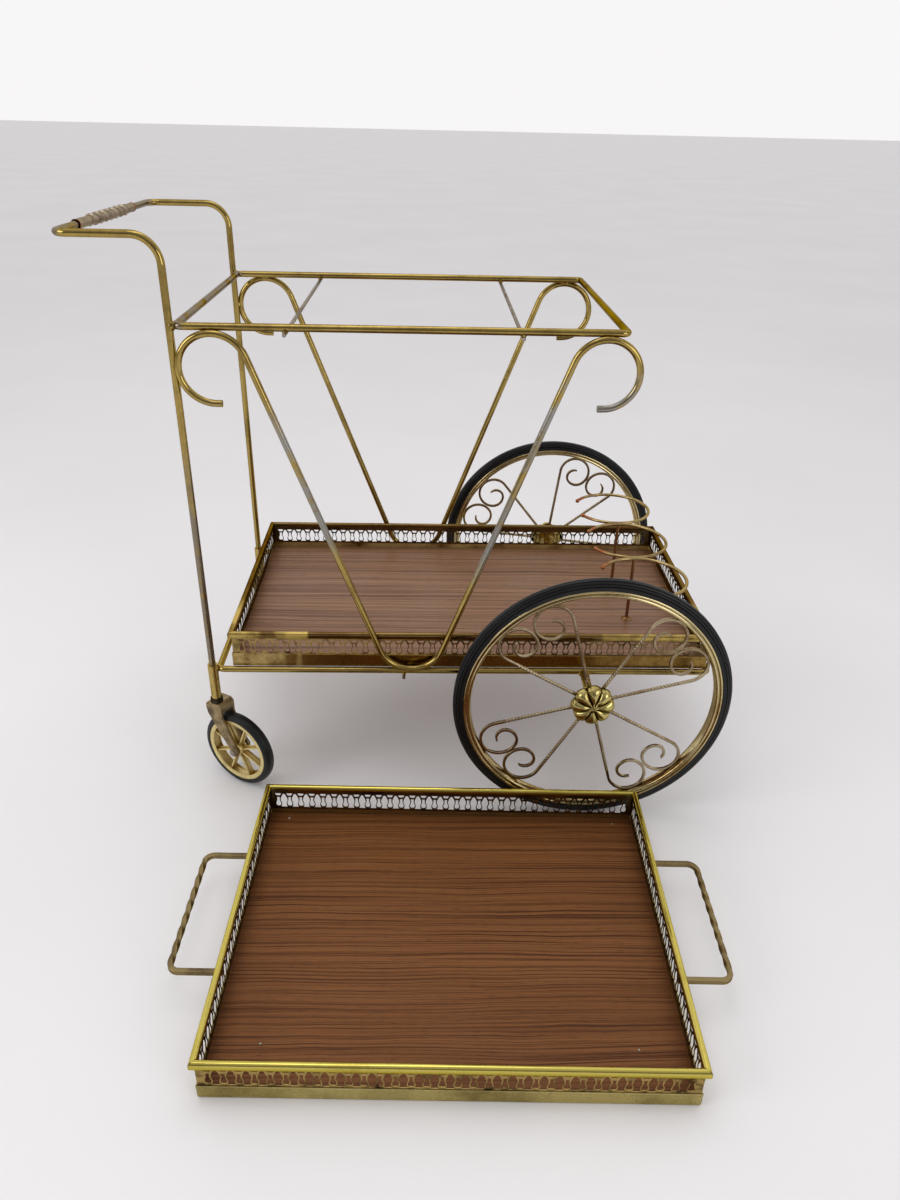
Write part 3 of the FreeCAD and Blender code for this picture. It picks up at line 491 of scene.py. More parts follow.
def ball(centre, size, wobble=0.0, rings=10, seed=0):
    """An ellipsoid, uneven by a share of its size."""
    verts = []
    for i in range(rings + 1):
        polar = pi * i / rings
        for k in range(2 * rings):
            a = pi * k / rings
            d = Vector((sin(polar) * cos(a), sin(polar) * sin(a), cos(polar)))
            grow = 1 + wobble * noise.noise(d * 2.0 + Vector((seed, 0, 0)))
            verts.append(Vector(centre) + d * Vector(size) * grow)
    return merged(verts, joined(rings, 2 * rings))


def merged(verts, faces):
    """The same mesh with points that coincide joined and collapsed faces dropped."""
    index, kept, new = {}, [], []
    for v in verts:
        key = tuple(round(c * 1e7) for c in v)
        if key not in index:
            index[key] = len(kept)
            kept.append(v)
        new.append(index[key])
    result = []
    for face in faces:
        face = [new[i] for i in face]
        face = [i for n, i in enumerate(face) if i != face[n - 1]]
        if len(face) > 2:
            result.append(face)
    return kept, result


def span(node):
    """Middle and size of a CAD node."""
    low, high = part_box(node)
    return (low + high) / 2, high - low


# ---------------------------------------------------------------- edged boards
def board_frame(prefix):
    """The shelf's or tray's own frame: origin under the middle, X along the board's near edge."""
    points = [v.co for v in nodes[prefix + "_board"].data.vertices]
    left, right = (min(points, key=lambda p: (p - Vector((far_off, -9, 0))).length)
                   for far_off in (-9, 9))
    turn = atan2(right.y - left.y, right.x - left.x)
    middle, _ = span(prefix + "_board")
    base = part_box(prefix + "_moulding")[0].z
    return Matrix.Translation((middle.x, middle.y, base)) @ Matrix.Rotation(turn, 4, "Z")


def local_size(node, matrix):
    """Lowest and highest corner of a CAD node in another frame."""
    back = matrix.inverted()
    points = [back @ v.co for v in nodes[node].data.vertices]
    return tuple(Vector(map(pick, zip(*points))) for pick in (min, max))


def wander(distance, seed):
    """How far a rolled strip is from straight here."""
    return 0.22 * MM * noise.noise(Vector((distance * 9.0, seed, 0.3)))


def mitred(outline, length, width, gap=0.45 * MM, step=18 * MM):
    """Four lengths of a strip round a rectangle: outline points are (inward, up)."""
    build = Build()
    for side, (run, across) in enumerate(((length, width), (width, length)) * 2):
        parts = max(2, ceil(run / step))
        verts = []
        for part in range(parts + 1):
            share = part / parts
            for inward, up in outline:
                x = (-run / 2 + inward + gap) * (1 - share) + (run / 2 - inward - gap) * share
                drift = wander(x, side * 3.1) * (1 - abs(2 * share - 1) ** 6)
                verts.append((x, -across / 2 + inward + abs(drift), up + drift * 0.4))
        count = len(outline)
        ends = [list(range(count)), [parts * count + k for k in range(count)][::-1]]
        build.add(verts, joined(parts, count) + ends, turned(90 * side))
    return build


def rail_outline(depth, height, gauge=0.9 * MM):
    """A rolled rail: an inverted U with a round top and small curled edges."""
    radius = depth / 2
    flat = height - radius

    def arch(inset):
        r = radius - inset
        return [(radius - r * cos(pi * k / 14), flat + r * sin(pi * k / 14))
                for k in range(15)]

    outer = [(0.35 * MM, 0.0), (0.0, 0.5 * MM)] + arch(0.0)
    outer += [(depth, 3.1 * MM), (depth - 0.3 * MM, 2.6 * MM)]
    inner = [(gauge, 0.25 * MM)] + arch(gauge) + [(depth - gauge, 2.8 * MM)]
    return outer + inner[::-1]


def moulding_outline(depth, height, fillet, drop, gauge=1.1 * MM):
    """A base strip: rolled bead at the top, plain face, round lower edge, ledge underneath."""
    bead = [(0.5 * MM, height - 0.1 * MM), (-0.1 * MM, height - 0.5 * MM),
            (-0.25 * MM, height - 1.2 * MM), (0.0, height - 1.9 * MM), (0.1 * MM, height - 2.5 * MM)]
    outer = [(fillet - fillet * cos(pi / 2 * k / 8),
              fillet - drop - fillet * sin(pi / 2 * k / 8)) for k in range(9)]
    ledge = [(depth, -drop), (depth, gauge - drop)]
    r = fillet - gauge
    inner = [(fillet - r * cos(pi / 2 * k / 5),
              fillet - drop - r * sin(pi / 2 * k / 5)) for k in range(6)][::-1]
    return (bead + outer + ledge + inner + [(gauge + 0.1 * MM, height - 0.3 * MM)])[::-1]


# right halves of the window outlines as (across, up) in mm, drawn for a strip of PATTERN_HEIGHT
PATTERN_HEIGHT = 21.76
LANTERN = ((4.45, 0.55), (3.55, 2.3), (3.0, 4.3), (3.45, 6.3), (4.3, 8.6), (4.5, 10.4),
           (4.0, 12.6), (2.9, 14.8), (1.9, 16.7), (0.9, 17.8), (0.0, 18.1))
VASE = ((0.0, 2.0), (1.6, 2.25), (2.9, 3.5), (3.25, 5.2), (2.8, 6.9), (2.0, 8.7), (1.6, 10.6),
        (1.65, 12.2), (2.05, 13.7), (0.0, 13.75))
BOAT = ((0.0, 15.55), (1.9, 15.6), (3.0, 16.5), (4.0, 18.4), (3.4, 18.75), (0.0, 18.75))
SHARP = {(4.45, 0.55), (2.05, 13.7)}


def rounded(points):
    """A smooth line through the points, except at the sharp ones."""
    result = []
    for i in range(len(points) - 1):
        one, two = Vector(points[i]), Vector(points[i + 1])
        before = one if i == 0 or points[i] in SHARP else Vector(points[i - 1])
        after = two if i + 2 >= len(points) or points[i + 1] in SHARP else Vector(points[i + 2])
        for k in range(3):
            t = k / 3
            result.append(0.5 * ((2 * one) + (two - before) * t
                                 + (2 * before - 5 * one + 4 * two - after) * t ** 2
                                 + (3 * one - before - 3 * two + after) * t ** 3))
    return result + [Vector(points[-1])]


def window(half):
    """A closed window outline from its right half."""
    right = rounded(half)
    left = [Vector((-p.x, p.y)) for p in right if p.x > 1e-6]
    return right + left[::-1]


def pierced_strip(run, rail_foot):
    """A flat strip with the row of windows, standing on XZ with its outer face at y = 0."""
    data = bpy.data.curves.new("strip", "CURVE")
    data.dimensions = "2D"
    data.fill_mode = "BOTH"
    lip = 0.14 * MM
    data.extrude = STRIP_GAUGE / 2 - lip
    data.bevel_depth = lip
    data.bevel_resolution = 1
    data.offset = -lip

    def outline(points):
        spline = data.splines.new("POLY")
        spline.points.add(len(points) - 1)
        spline.use_cyclic_u = True
        for target, p in zip(spline.points, points):
            target.co = (p[0], p[1], 0, 1)

    half, bottom, top = run / 2, BASE_TOP - 2 * MM, rail_foot + 4 * MM
    stretch = (rail_foot - BASE_TOP) / PATTERN_HEIGHT
    outline([(-half, bottom), (half, bottom), (half, top), (-half, top)])
    count = int((run - 10 * MM) / WINDOW_PITCH)
    first = -(count - 1) / 2 * WINDOW_PITCH
    shapes = [(shift, window(shape)) for shift, shape in ((0.0, LANTERN), (0.5, VASE), (0.5, BOAT))]
    for index in range(-1, count):
        for shift, shape in shapes:
            if index < 0 and not shift:
                continue
            x = first + (index + shift) * WINDOW_PITCH
            outline([(x + p.x * MM, BASE_TOP + p.y * stretch) for p in shape])
    curve = bpy.data.objects.new("strip", data)
    bpy.context.scene.collection.objects.link(curve)
    made = bpy.data.meshes.new_from_object(curve.evaluated_get(bpy.context.evaluated_depsgraph_get()))
    bpy.data.objects.remove(curve)
    upright = Matrix.Translation((0, STRIP_GAUGE / 2, 0)) @ turned(90, "X")
    verts = [upright @ v.co for v in made.vertices]
    faces = [list(p.vertices) for p in made.polygons]
    return verts, faces


def edged_board(prefix, body):
    """Rail, moulding and the four pierced strips round a board."""
    on_tray = prefix == "tray"
    matrix = board_frame(prefix)
    rail_low, rail_high = local_size(prefix + "_rail", matrix)
    length, width = rail_high.x - rail_low.x, rail_high.y - rail_low.y
    height = rail_high.z - rail_low.z - RAIL_LIFT
    lift = matrix @ Matrix.Translation((0, 0, rail_low.z + RAIL_LIFT))
    outline = [(inward + RAIL_LIFT, up) for inward, up in rail_outline(RAIL_DEPTH, height)]
    strips = mitred(outline, length, width)
    Build().add(strips.verts, strips.faces, lift).made(
        prefix + "_rolled_rail", body, "rail_brass" if on_tray else "shelf_rail_brass",
        [prefix + "_rail"], crease=40)

    base_low, base_high = local_size(prefix + "_moulding", matrix)
    fillet, drop = (3.2 * MM, 0.0) if on_tray else (1.6 * MM, 1.1 * MM)
    outline = moulding_outline(MOULDING_DEPTH, BASE_TOP, fillet, drop)
    strips = mitred(outline, base_high.x - base_low.x, base_high.y - base_low.y)
    Build().add(strips.verts, strips.faces, matrix).made(
        prefix + "_rolled_moulding", body, "moulding_brass", [prefix + "_moulding"], crease=40,
        material="moulding_brass" if on_tray else "shelf_moulding_brass")

    long_strip = pierced_strip(base_high.x - base_low.x - 2 * STRIP_INSET, rail_low.z)
    short_strip = pierced_strip(base_high.y - base_low.y - 4 * STRIP_INSET, rail_low.z)
    for index, side in enumerate(("near", "right", "far", "left")):
        strip, across = (short_strip, base_high.x) if index % 2 else (long_strip, base_high.y)
        placed = matrix @ turned(90 * index) @ Matrix.Translation((0, STRIP_INSET - across, 0))
        Build().add(*strip, placed).made("%s_fretwork_%s" % (prefix, side), body, "gallery_brass",
                                         ["%s_gallery_%s" % (prefix, side)], crease=50)


# ---------------------------------------------------------------- bars
def twisted_bar(path, section, start, end, pitch, scale=None):
    """A square bar twisted between two distances along its path, plain elsewhere."""
    turns = round((end - start) / pitch * 4) / 4

    def turn(distance):
        return share_of(distance, start, end) * turns * 2 * pi

    return sweep(path, section, turn, scale)


def tray_handles():
    """Square bars bent to a U and twisted along the grip."""
    matrix = board_frame("tray")
    for side in ("left", "right"):
        node = "tray_handle_" + side
        low, high = local_size(node, matrix)
        bar = high.z - low.z
        level = (low.z + high.z) / 2
        outer, inner = (low.x + bar / 2, high.x) if side == "left" else (high.x - bar / 2, low.x)
        end = high.y - bar / 2
        corners = [Vector((inner, -end, level)), Vector((outer, -end, level)),
                   Vector((outer, end, level)), Vector((inner, end, level))]
        path = filled(bent(corners, [HANDLE_BEND] * 2, 12), 1.1 * MM)
        start = abs(outer - inner) + 3 * MM
        section = rounded_square(bar * 0.48, bar * 0.14)
        verts, faces = twisted_bar(path, section, start, line_length(path) - start, 76 * MM)
        Build().add(verts, faces, matrix).made(
            "twisted_" + node, "tray", "handle_bar", [node], crease=38)


def handle_grip():
    """A sheet sleeve with spiral ridges, plain at both ends, on the push handle."""
    middle, size = span("handle_grip")
    radius, length = size.x / 2, size.y
    ridge_pitch, ridge_height = 19 * MM, 1.5 * MM
    plain_near, plain_far, fade = 38 * MM, 24 * MM, 8 * MM
    steps, around = 240, 48
    verts = []
    for i in range(steps + 1):
        along = length * i / steps
        ramp = share_of(along, plain_near, plain_near + fade)
        ramp *= share_of(length - along, plain_far, plain_far + fade)
        for k in range(around):
            a = 2 * pi * k / around
            crest = max(0.0, cos(2 * pi * along / ridge_pitch + a)) ** 3
            valley = 0.25 * (1 - crest)
            dent = 0.12 * MM * noise.noise(Vector((along * 60, cos(a) * 1.5, sin(a) * 1.5)))
            r = radius - 0.5 * MM + ridge_height * ramp * (crest - valley) + dent
            verts.append((middle.x + r * cos(a), middle.y - length / 2 + along,
                          middle.z + r * sin(a)))
    piece("spiral_grip", verts, joined(steps, around), "cart", "grip_metal", ["handle_grip"],
          crease=60)

    bore = span("top_frame")[1].z / 2
    ring = [(max(radius - 0.45 * MM + x * 0.35, bore), y * 0.7) for x, y in circle(1 * MM, 8)]
    edge = Build()
    for place in (0.4 * MM - length / 2, length / 2 - 0.4 * MM):
        centre = (middle.x, middle.y + place, middle.z)
        edge.add(*lathe(ring, 40), Matrix.Translation(centre) @ turned(90, "X"))
    edge.made("grip_edges", "cart", "grip_metal", material="grip_edge")


# ---------------------------------------------------------------- large wheels
def axle(name):
    return Vector(joints[name + "_wheel_spin"]["pos_m"])


def wheel_matrix(name):
    return Matrix.Translation(axle(name)) @ turned(-90 * SIDES[name], "X")


def radial(part, name):
    """Smallest and largest distance of a wheel part from its axle."""
    points = [v.co - axle(name) for v in nodes[part + "_" + name].data.vertices]
    distances = [hypot(p.x, p.z) for p in points]
    return min(distances), max(distances)


def grooved(points, grooves, depth, width):
    """Cuts shallow grooves into an outline; grooves are shares of its length."""
    lengths = [0.0]
    for one, two in zip(points, points[1:]):
        lengths.append(lengths[-1] + dist(one, two))
    result = []
    for i, (r, h) in enumerate(points):
        share = lengths[i] / lengths[-1]
        before, after = points[max(i - 1, 0)], points[min(i + 1, len(points) - 1)]
        tangent = Vector((after[0] - before[0], after[1] - before[1])).normalized()
        cut = depth * sum(exp(-((share - g) / width) ** 2) for g in grooves)
        result.append((r - cut * abs(tangent.y), h - cut * copysign(abs(tangent.x), h)))
    return result


def tread(base, outer, width, steps, height_power, width_power):
    """A tyre's outline from wall to wall over a full crown."""
    line = []
    for k in range(steps + 1):
        a = pi * k / steps
        across = -width / 2 * copysign(abs(cos(a)) ** width_power, cos(a))
        line.append((base + (outer - base) * abs(sin(a)) ** height_power, across))
    return line


def tyre_outline(outer, seat, width):
    """A rubber tyre's section: grooved crown and walls, narrow neck in the rim."""
    base = seat + TYRE_NECK
    crown = grooved(tread(base, outer, width, 72, 0.8, 0.75), TYRE_GROOVES, 1.1 * MM, 0.012)
    neck, lip = width * 0.32, width * 0.42
    return crown + [(base - 0.6 * MM, lip), (base - 0.8 * MM, neck), (seat, neck),
                    (seat, -neck), (base - 0.8 * MM, -neck), (base - 0.6 * MM, -lip)]


def rim_outline(inner, outer, width):
    """A rolled channel: round shoulders towards the hub, a groove, a bead at each edge."""
    well = 0.62 * width / 2
    shoulder, bead = 3.1 * MM, 1.9 * MM
    side = [(inner + 0.8 * MM * (k / 5) ** 2, well * k / 5) for k in range(6)]
    middle = inner + 0.8 * MM + shoulder
    side += [(middle - shoulder * cos(a), well + shoulder * sin(a))
             for a in [pi / 2 * k / 7 for k in range(1, 8)]]
    side += [(middle + 1.3 * MM, well + shoulder - 0.9 * MM)]
    side += [(outer - bead - bead * cos(a), well + 1.5 * MM + bead * sin(a))
             for a in [radians(35) + pi * 0.8 * k / 9 for k in range(10)]]
    side += [(outer - 1.2 * MM, well)]
    return [(r, -h) for r, h in side[:0:-1]] + side


def wheel_spokes(name):
    """Twisted square spokes; each ends in a plain curl with a flattened tail."""
    bar = span("spokes_" + name)[1].y
    reach = radial("rim", name)[0] - bar / 2 - CURL_RADII[0]
    straight = reach * cos(asin(CURL_RADII[0] / reach)) - SPOKE_START
    moves = [(straight,)] + list(zip(CURL_RADII, CURL_TURNS))
    path = filled(curl(SPOKE_START, moves, 1.6 * MM), 1.3 * MM)
    total, tail = line_length(path), 9 * MM

    def scale(distance):
        flat = share_of(distance, total - tail, total)
        return 1.0 - 0.45 * flat, 1.0 + 0.15 * flat

    section = rounded_square(bar * 0.46, bar * 0.14, 3)
    verts, faces = twisted_bar(path, section, 20 * MM, straight - 14 * MM, 17 * MM, scale)
    build = Build()
    aside = turned(-180 / SPOKES)
    for index in range(SPOKES // 2):
        pair = wheel_matrix(name) @ turned(WHEEL_ROLL[name] + index * 720 / SPOKES)
        build.add(verts, faces, pair @ aside)
        build.add(verts, faces, pair @ Matrix.Scale(-1, 4, (0, 1, 0)) @ aside)
    build.made("twisted_spokes_" + name, name + "_wheel", "spoke_metal", ["spokes_" + name], crease=38)


def hub_cap(name):
    """A pressed cap like a small pumpkin: eight lobes, deep creases, a button in the middle."""
    middle, size = span("hub_cap_" + name)
    radius, depth = size.x / 2, size.y
    foot = abs(middle.y - axle(name).y) - depth / 2
    rings, around, lobes = 26, 128, 8
    verts = []
    for i in range(rings + 1):
        share = i / rings
        for k in range(around):
            a = 2 * pi * k / around
            swell = abs(cos(lobes / 2 * a)) ** 0.55
            r = radius * (0.84 + 0.16 * swell) * sin(share * pi / 2) ** 0.92
            dome = cos(share * pi / 2) ** 0.55
            crease = (1 - swell) * 0.32 * sin(min(share * 1.3, 1) * pi) ** 0.6
            pit = 0.24 * exp(-(share / 0.20) ** 2)
            button = 0.22 * exp(-(share / 0.09) ** 4)
            verts.append((r * cos(a), r * sin(a),
                          foot + depth * max(dome - crease - pit + button, 0.0) * 0.97))
    build = Build().add(*merged(verts, joined(rings, around)), wheel_matrix(name))
    cap = build.made("fluted_cap_" + name, name + "_wheel", "hub_brass", ["hub_cap_" + name], crease=60)
    skin = cap.modifiers.new("sheet", "SOLIDIFY")
    skin.thickness = 0.7 * MM
    skin.offset = -1.0


def large_wheel(name):
    """Tyre, rim, spokes and cap of one wheel."""
    matrix, body = wheel_matrix(name), name + "_wheel"
    width = span("tyre_" + name)[1].y
    seat, outer = radial("tyre", name)
    Build().add(*lathe(tyre_outline(outer, seat, width), 160), matrix).made(
        "ribbed_tyre_" + name, body, "tyre_rubber", ["tyre_" + name], crease=50)
    inner, edge = radial("rim", name)
    Build().add(*lathe(rim_outline(inner - 0.8 * MM, edge + 2.6 * MM, width), 160), matrix).made(
        "rolled_rim_" + name, body, "rim_brass", ["rim_" + name], crease=45)
    wheel_spokes(name)
    hub_cap(name)


# ---------------------------------------------------------------- casters
def caster_matrix(name):
    """The caster wheel's frame: Z along its axle, Y up."""
    joint = joints[name + "_caster_roll"]
    pin = Vector(joint["axis"]).normalized()
    up = Vector((0, 0, 1))
    turn = Matrix((up.cross(pin), up, pin)).transposed().to_4x4()
    return Matrix.Translation(joint["pos_m"]) @ turn


def prism(outline, low, high):
    """A plate between two heights with a convex outline in XY."""
    count = len(outline)
    verts = [(x, y, low) for x, y in outline] + [(x, y, high) for x, y in outline]
    faces = [list(range(count))[::-1], [count + k for k in range(count)]]
    faces += [[k, (k + 1) % count, count + (k + 1) % count, count + k] for k in range(count)]
    return verts, faces


def caster_wheel(name):
    matrix = caster_matrix(name)
    body = name + "_caster_wheel"
    outer = span("caster_tyre_" + name)[1].z / 2
    rim = span("caster_wheel_" + name)[1].z / 2
    crown = tread(rim + 0.6 * MM, outer, CASTER_WIDTH, 60, 0.75, 0.7)
    crown = grooved(crown, CASTER_GROOVES, 0.4 * MM, 0.010)
    wall = CASTER_WIDTH / 2 - 0.8 * MM
    Build().add(*lathe(crown + [(rim, wall), (rim, -wall)], 96), matrix).made(
        "lined_caster_tyre_" + name, body, "tyre_rubber", ["caster_tyre_" + name], crease=50)

    half = CASTER_WIDTH / 2 - 0.6 * MM
    steps = ((0.0, 0.0), (5.2, 0.0), (6.0, 0.5), (6.3, 1.6), (4.2, 2.6), (3.6, 4.0))
    side = [(rim - down * MM, half - inward * MM) for down, inward in steps]
    ring = [(rim, -half)] + side + [(r, -h) for r, h in side[:0:-1]]
    build = Build().add(*lathe(ring, 96), matrix)
    boss, bore, lip = 8.0 * MM, 3.05 * MM, 1.2 * MM
    hub = [(bore, -half), (boss - lip, -half), (boss, -half + lip), (boss + 0.8 * MM, 0.0),
           (boss, half - lip), (boss - lip, half), (bore, half)]
    build.add(*lathe(hub, 48), matrix)
    for index in range(CASTER_SPOKES):
        turn = matrix @ turned((index + 0.5) * 360 / CASTER_SPOKES)
        start, end = boss - 1 * MM, rim - 3.8 * MM
        flange = [(start, -3.4 * MM), (end, -2.2 * MM), (end, 2.2 * MM), (start, 3.4 * MM)]
        build.add(*prism(flange, -1.3 * MM, 1.3 * MM), turn)
        rib = [(start, -1.3 * MM), (end, -0.9 * MM), (end, 0.9 * MM), (start, 1.3 * MM)]
        build.add(*prism(rib, -half + 2.4 * MM, half - 2.4 * MM), turn)
    wheel = build.made("webbed_caster_wheel_" + name, body, "caster_gold",
                       ["caster_wheel_" + name], crease=40)
    round_off = wheel.modifiers.new("edges", "BEVEL")
    round_off.width = 0.35 * MM
    round_off.segments = 2
    round_off.limit_method = "ANGLE"
    round_off.angle_limit = radians(50)


def caster_fork(name):
    """A casting with soft edges: crown, two tapered arms and bosses at the axle."""
    wheel = caster_matrix(name)
    stem = joints[name + "_caster_swivel"]["pos_m"]
    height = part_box("caster_fork_" + name)[1].z
    back, top, _ = wheel.inverted() @ Vector((stem[0], stem[1], height))
    away = 1 if back > 0 else -1
    crown_foot = top - 12.8 * MM
    gap, arm, wide, foot = 19.0 * MM, 4.0 * MM, 27.0 * MM, 7.4 * MM
    build = Build()

    def plate(points, low, high):
        line = [(back + away * x, y) for x, y in points]
        build.add(*prism(line if away < 0 else line[::-1], low, high))

    half = wide / 2
    trail = -abs(back)
    arm_side = [(-half, crown_foot - 8 * MM), (-half, top - 5 * MM), (-half + 5 * MM, top),
                (half - 4 * MM, top), (half, top - 5 * MM), (half - 2 * MM, crown_foot - 6 * MM),
                (trail + foot, 4 * MM), (trail + foot * 0.7, -foot * 0.75), (trail, -foot),
                (trail - foot * 0.7, -foot * 0.75), (trail - foot, 0.0)]
    pad = [(x + back + away * trail, y) for x, y in circle(5.6 * MM)]
    reach = gap / 2 + arm
    for side in (-1, 1):
        plate(arm_side, *sorted((side * gap / 2, side * reach)))
        build.add(*prism(pad, *sorted((side * gap / 2, side * (reach + 0.8 * MM)))))
    plate([(-half, crown_foot), (half, crown_foot), (half, top - 3 * MM), (half - 4 * MM, top),
           (-half + 5 * MM, top), (-half, top - 4 * MM)], -reach, reach)
    placed = Build().add(build.verts, build.faces, wheel)
    fork = placed.made("cast_fork_" + name, name + "_caster", "cast_brass", ["caster_fork_" + name])
    blend = fork.modifiers.new("casting", "REMESH")
    blend.mode = "VOXEL"
    blend.voxel_size = 0.75 * MM
    blend.use_smooth_shade = True
    soften = fork.modifiers.new("soft_edges", "SMOOTH")
    soften.factor = 0.6
    soften.iterations = 5


# ---------------------------------------------------------------- small things on the cart
def rack_flanges():
    """Thin spun flanges with a raised collar round each post."""
    low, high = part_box("rack_flanges")
    first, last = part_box("rack_posts")
    radius, wire = (high.x - low.x) / 2, (last.x - first.x) / 2
    profile = [(wire, 0.0), (radius - 0.3 * MM, 0.0), (radius, 0.4 * MM), (radius - 0.4 * MM, 0.9 * MM),
               (radius * 0.62, 1.3 * MM), (radius * 0.48, 2.6 * MM), (wire + 0.6 * MM, 3.6 * MM),
               (wire, 3.6 * MM)]
    build = Build()
    for y in (first.y + wire, last.y - wire):
        build.add(*lathe(profile, 40), Matrix.Translation(((low.x + high.x) / 2, y, low.z)))
    build.made("spun_flanges", "cart", "rack_wire", ["rack_flanges"], material="copper_wire")


def rod_places(node):
    """The x of each rod in a node."""
    places = sorted(v.co.x for v in nodes[node].data.vertices)
    groups = [[places[0]]]
    for x in places[1:]:
        if x - groups[-1][-1] > 20 * MM:
            groups.append([])
        groups[-1].append(x)
    return [(g[0] + g[-1]) / 2 for g in groups]


def braze_joints():
    """Small uneven fillets of braze where two bars meet."""
    top, size = span("top_frame")
    lower = span("lower_frame")[0].z
    bar = size.z
    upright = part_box("handle_frame")[1].x - bar / 2
    low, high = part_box("side_scroll_near")
    scroll = high.y - low.y
    bow = scroll / 2 + SCROLL_TOP
    spots = []
    for name, side in SIDES.items():
        y = top.y + side * (size.y - bar) / 2
        between = (y + span("side_scroll_" + name)[0].y) / 2
        spots += [((upright + bar * 0.35, y, top.z), (4.6, 4.7, 5.6)),
                  ((upright + bar * 0.45, y, lower), (5.4, 4.8, 6.4)),
                  ((upright + bar * 0.4, between, high.z - scroll * 5.2), (3.6, 3.4, 5.0))]
        spots += [((x, between, top.z - bar / 2 - 0.2 * MM), (6.0, 3.9, 2.6))
                  for x in (low.x + bow, high.x - bow)]
        spots.append((((low.x + high.x) / 2, between, lower + bar / 2), (9.0, 3.8, 2.8)))
        for node, level in (("top_cross_rods", top.z), ("lower_cross_rod", lower)):
            spots += [((x, y, level - bar / 2 - 0.3 * MM), (3.4, 3.9, 2.2)) for x in rod_places(node)]
        spots.append(((axle(name).x, y + side * 2.5 * MM, lower - 1.5 * MM), (8.6, 4.6, 5.4)))
    build = Build()
    for index, (place, size) in enumerate(spots):
        build.add(*ball(place, [s * MM for s in size], 0.16, 12, index * 1.7))
    build.made("braze_fillets", "cart", "bar_brass")


def board_pins(prefix, body):
    """Domed heads of the tacks that hold a board down."""
    groups = []
    for point in (v.co for v in nodes[prefix + "_board_pins"].data.vertices):
        near = [g for g in groups if (g[0] - point).to_2d().length < 20 * MM]
        if near:
            near[0].append(point)
        else:
            groups.append([point])
    build = Build()
    for group in groups:
        low, high = (Vector(map(pick, zip(*group))) for pick in (min, max))
        radius = (high.x - low.x) / 2
        build.add(*ball(((low.x + high.x) / 2, (low.y + high.y) / 2, high.z),
                        (radius, radius, 0.8 * MM)))
    build.made(prefix + "_tacks", body, "axle_steel", [prefix + "_board_pins"])


KEPT = {
    "handle_frame": "handle_brass", "top_frame": "top_brass", "lower_frame": "bar_brass",
    "side_scroll_near": "near_v_brass", "side_scroll_far": "bar_brass",
    "top_cross_rods": "rod_steel", "lower_cross_rod": "rod_steel",
    "shelf_board": "shelf_laminate", "tray_board": "tray_laminate",
    "rack_ring_middle": "rack_wire", "rack_posts": "copper_wire",
}
KEPT_PAIRS = {
    "rack_ring": "rack_wire", "axle_stub": "socket_brass", "axle_nut": "axle_steel",
    "hub": "socket_brass", "caster_socket": "socket_brass", "caster_collar": "dark_collar",
    "caster_stem": "axle_steel", "caster_pin": "axle_steel",
}


def finish_kept_nodes():
    """Gives the CAD nodes that stay in view their materials."""
    pairs = {"%s_%s" % (part, side): look for part, look in KEPT_PAIRS.items() for side in SIDES}
    for name, look in {**KEPT, **pairs}.items():
        nodes[name].data.materials.clear()
        nodes[name].data.materials.append(materials[look])


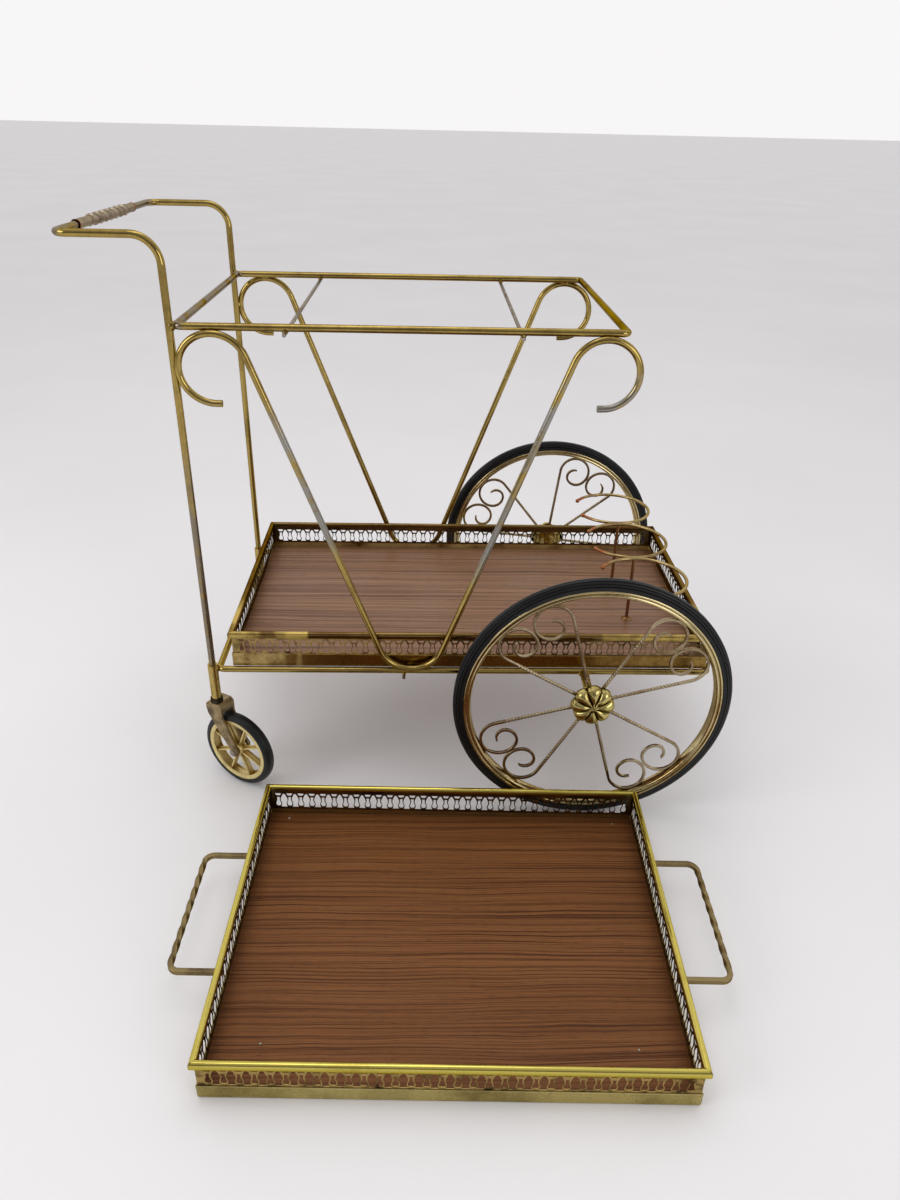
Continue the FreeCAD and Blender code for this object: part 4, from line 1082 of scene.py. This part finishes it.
# ---------------------------------------------------------------- studio
def studio():
    """Pale floor, soft overhead light, a paler far side and a dimmer near side."""
    floor = Shader("floor")
    soft = floor.noise(1.3, 3.0)
    colour = floor.ramp(soft, (0.3, (0.80, 0.787, 0.80)), (0.7, (0.84, 0.827, 0.836)))
    relief = floor.bump(floor.noise(160.0, 4.0), 0.06, 0.001)
    floor.finish(Base_Color=colour, Roughness=0.6, Normal=relief)
    mesh = bpy.data.meshes.new("floor")
    reach = 60.0
    corners = [(x * reach, y * reach, 0) for x, y in ((-1, -1), (1, -1), (1, 1), (-1, 1))]
    mesh.from_pydata(corners, [], [[0, 1, 2, 3]])
    ground = bpy.data.objects.new("floor", mesh)
    mesh.materials.append(floor.material)
    bpy.context.scene.collection.objects.link(ground)

    room = bpy.data.worlds.new("room")
    bpy.context.scene.world = room
    sky = Shader("room", room)
    overhead = sky.math("MULTIPLY", sky.band("Z", 0.22, 0.85), 0.42)
    behind = sky.math("MULTIPLY", sky.band("Y", -0.35, 0.45), 0.76)
    light = sky.math("MINIMUM", sky.math("ADD", sky.math("ADD", overhead, behind), 0.18), 0.98)
    sky.feed(sky.surface.inputs["Color"], (1.0, 0.985, 0.99, 1.0))
    sky.feed(sky.surface.inputs["Strength"], light)

    def panel(name, place, aim, size, power):
        light = bpy.data.lights.new(name, "AREA")
        light.shape = "RECTANGLE"
        light.size, light.size_y = size
        light.energy = power
        lamp = bpy.data.objects.new(name, light)
        lamp.location = place
        lamp.rotation_euler = (Vector(aim) - Vector(place)).to_track_quat("-Z", "Y").to_euler()
        bpy.context.scene.collection.objects.link(lamp)

    panel("ceiling", (-0.2, 0.1, 2.7), (0, 0, 0.2), (2.4, 0.7), 8)
    panel("window", (-2.3, -1.2, 1.5), (0, 0, 0.2), (1.4, 1.4), 20)
    panel("fill", (1.9, -1.9, 1.1), (0.1, 0, 0.2), (1.6, 1.2), 15)


def camera():
    """The main view: about a metre in front and 0.84 m up, looking down at the cart."""
    pitch, yaw, roll = (radians(a) for a in (28.712, 1.782, -1.351))
    place = Vector((3.0, -977.2, 835.5)) * MM
    forward = Vector((sin(yaw) * cos(pitch), cos(yaw) * cos(pitch),
                      -sin(pitch)))
    right = Vector((cos(yaw), -sin(yaw), 0.0))
    down = forward.cross(right)
    across = right * cos(roll) + down * sin(roll)
    below = down * cos(roll) - right * sin(roll)
    data = bpy.data.cameras.new("camera")
    data.sensor_width, data.lens = 36.0, 26.565
    data.clip_start, data.clip_end = 0.05, 60.0
    eye = bpy.data.objects.new("camera", data)
    eye.matrix_world = Matrix.Translation(place) @ Matrix(
        (across, -below, -forward)).transposed().to_4x4()
    bpy.context.scene.collection.objects.link(eye)
    bpy.context.scene.camera = eye
    bpy.context.scene.view_settings.view_transform = "Standard"


for prefix, body in BOARDS.items():
    edged_board(prefix, body)
    board_pins(prefix, body)
tray_handles()
handle_grip()
for name in SIDES:
    large_wheel(name)
    caster_wheel(name)
    caster_fork(name)
finish_kept_nodes()
rack_flanges()
braze_joints()
studio()
camera()

bpy.context.view_layer.update()
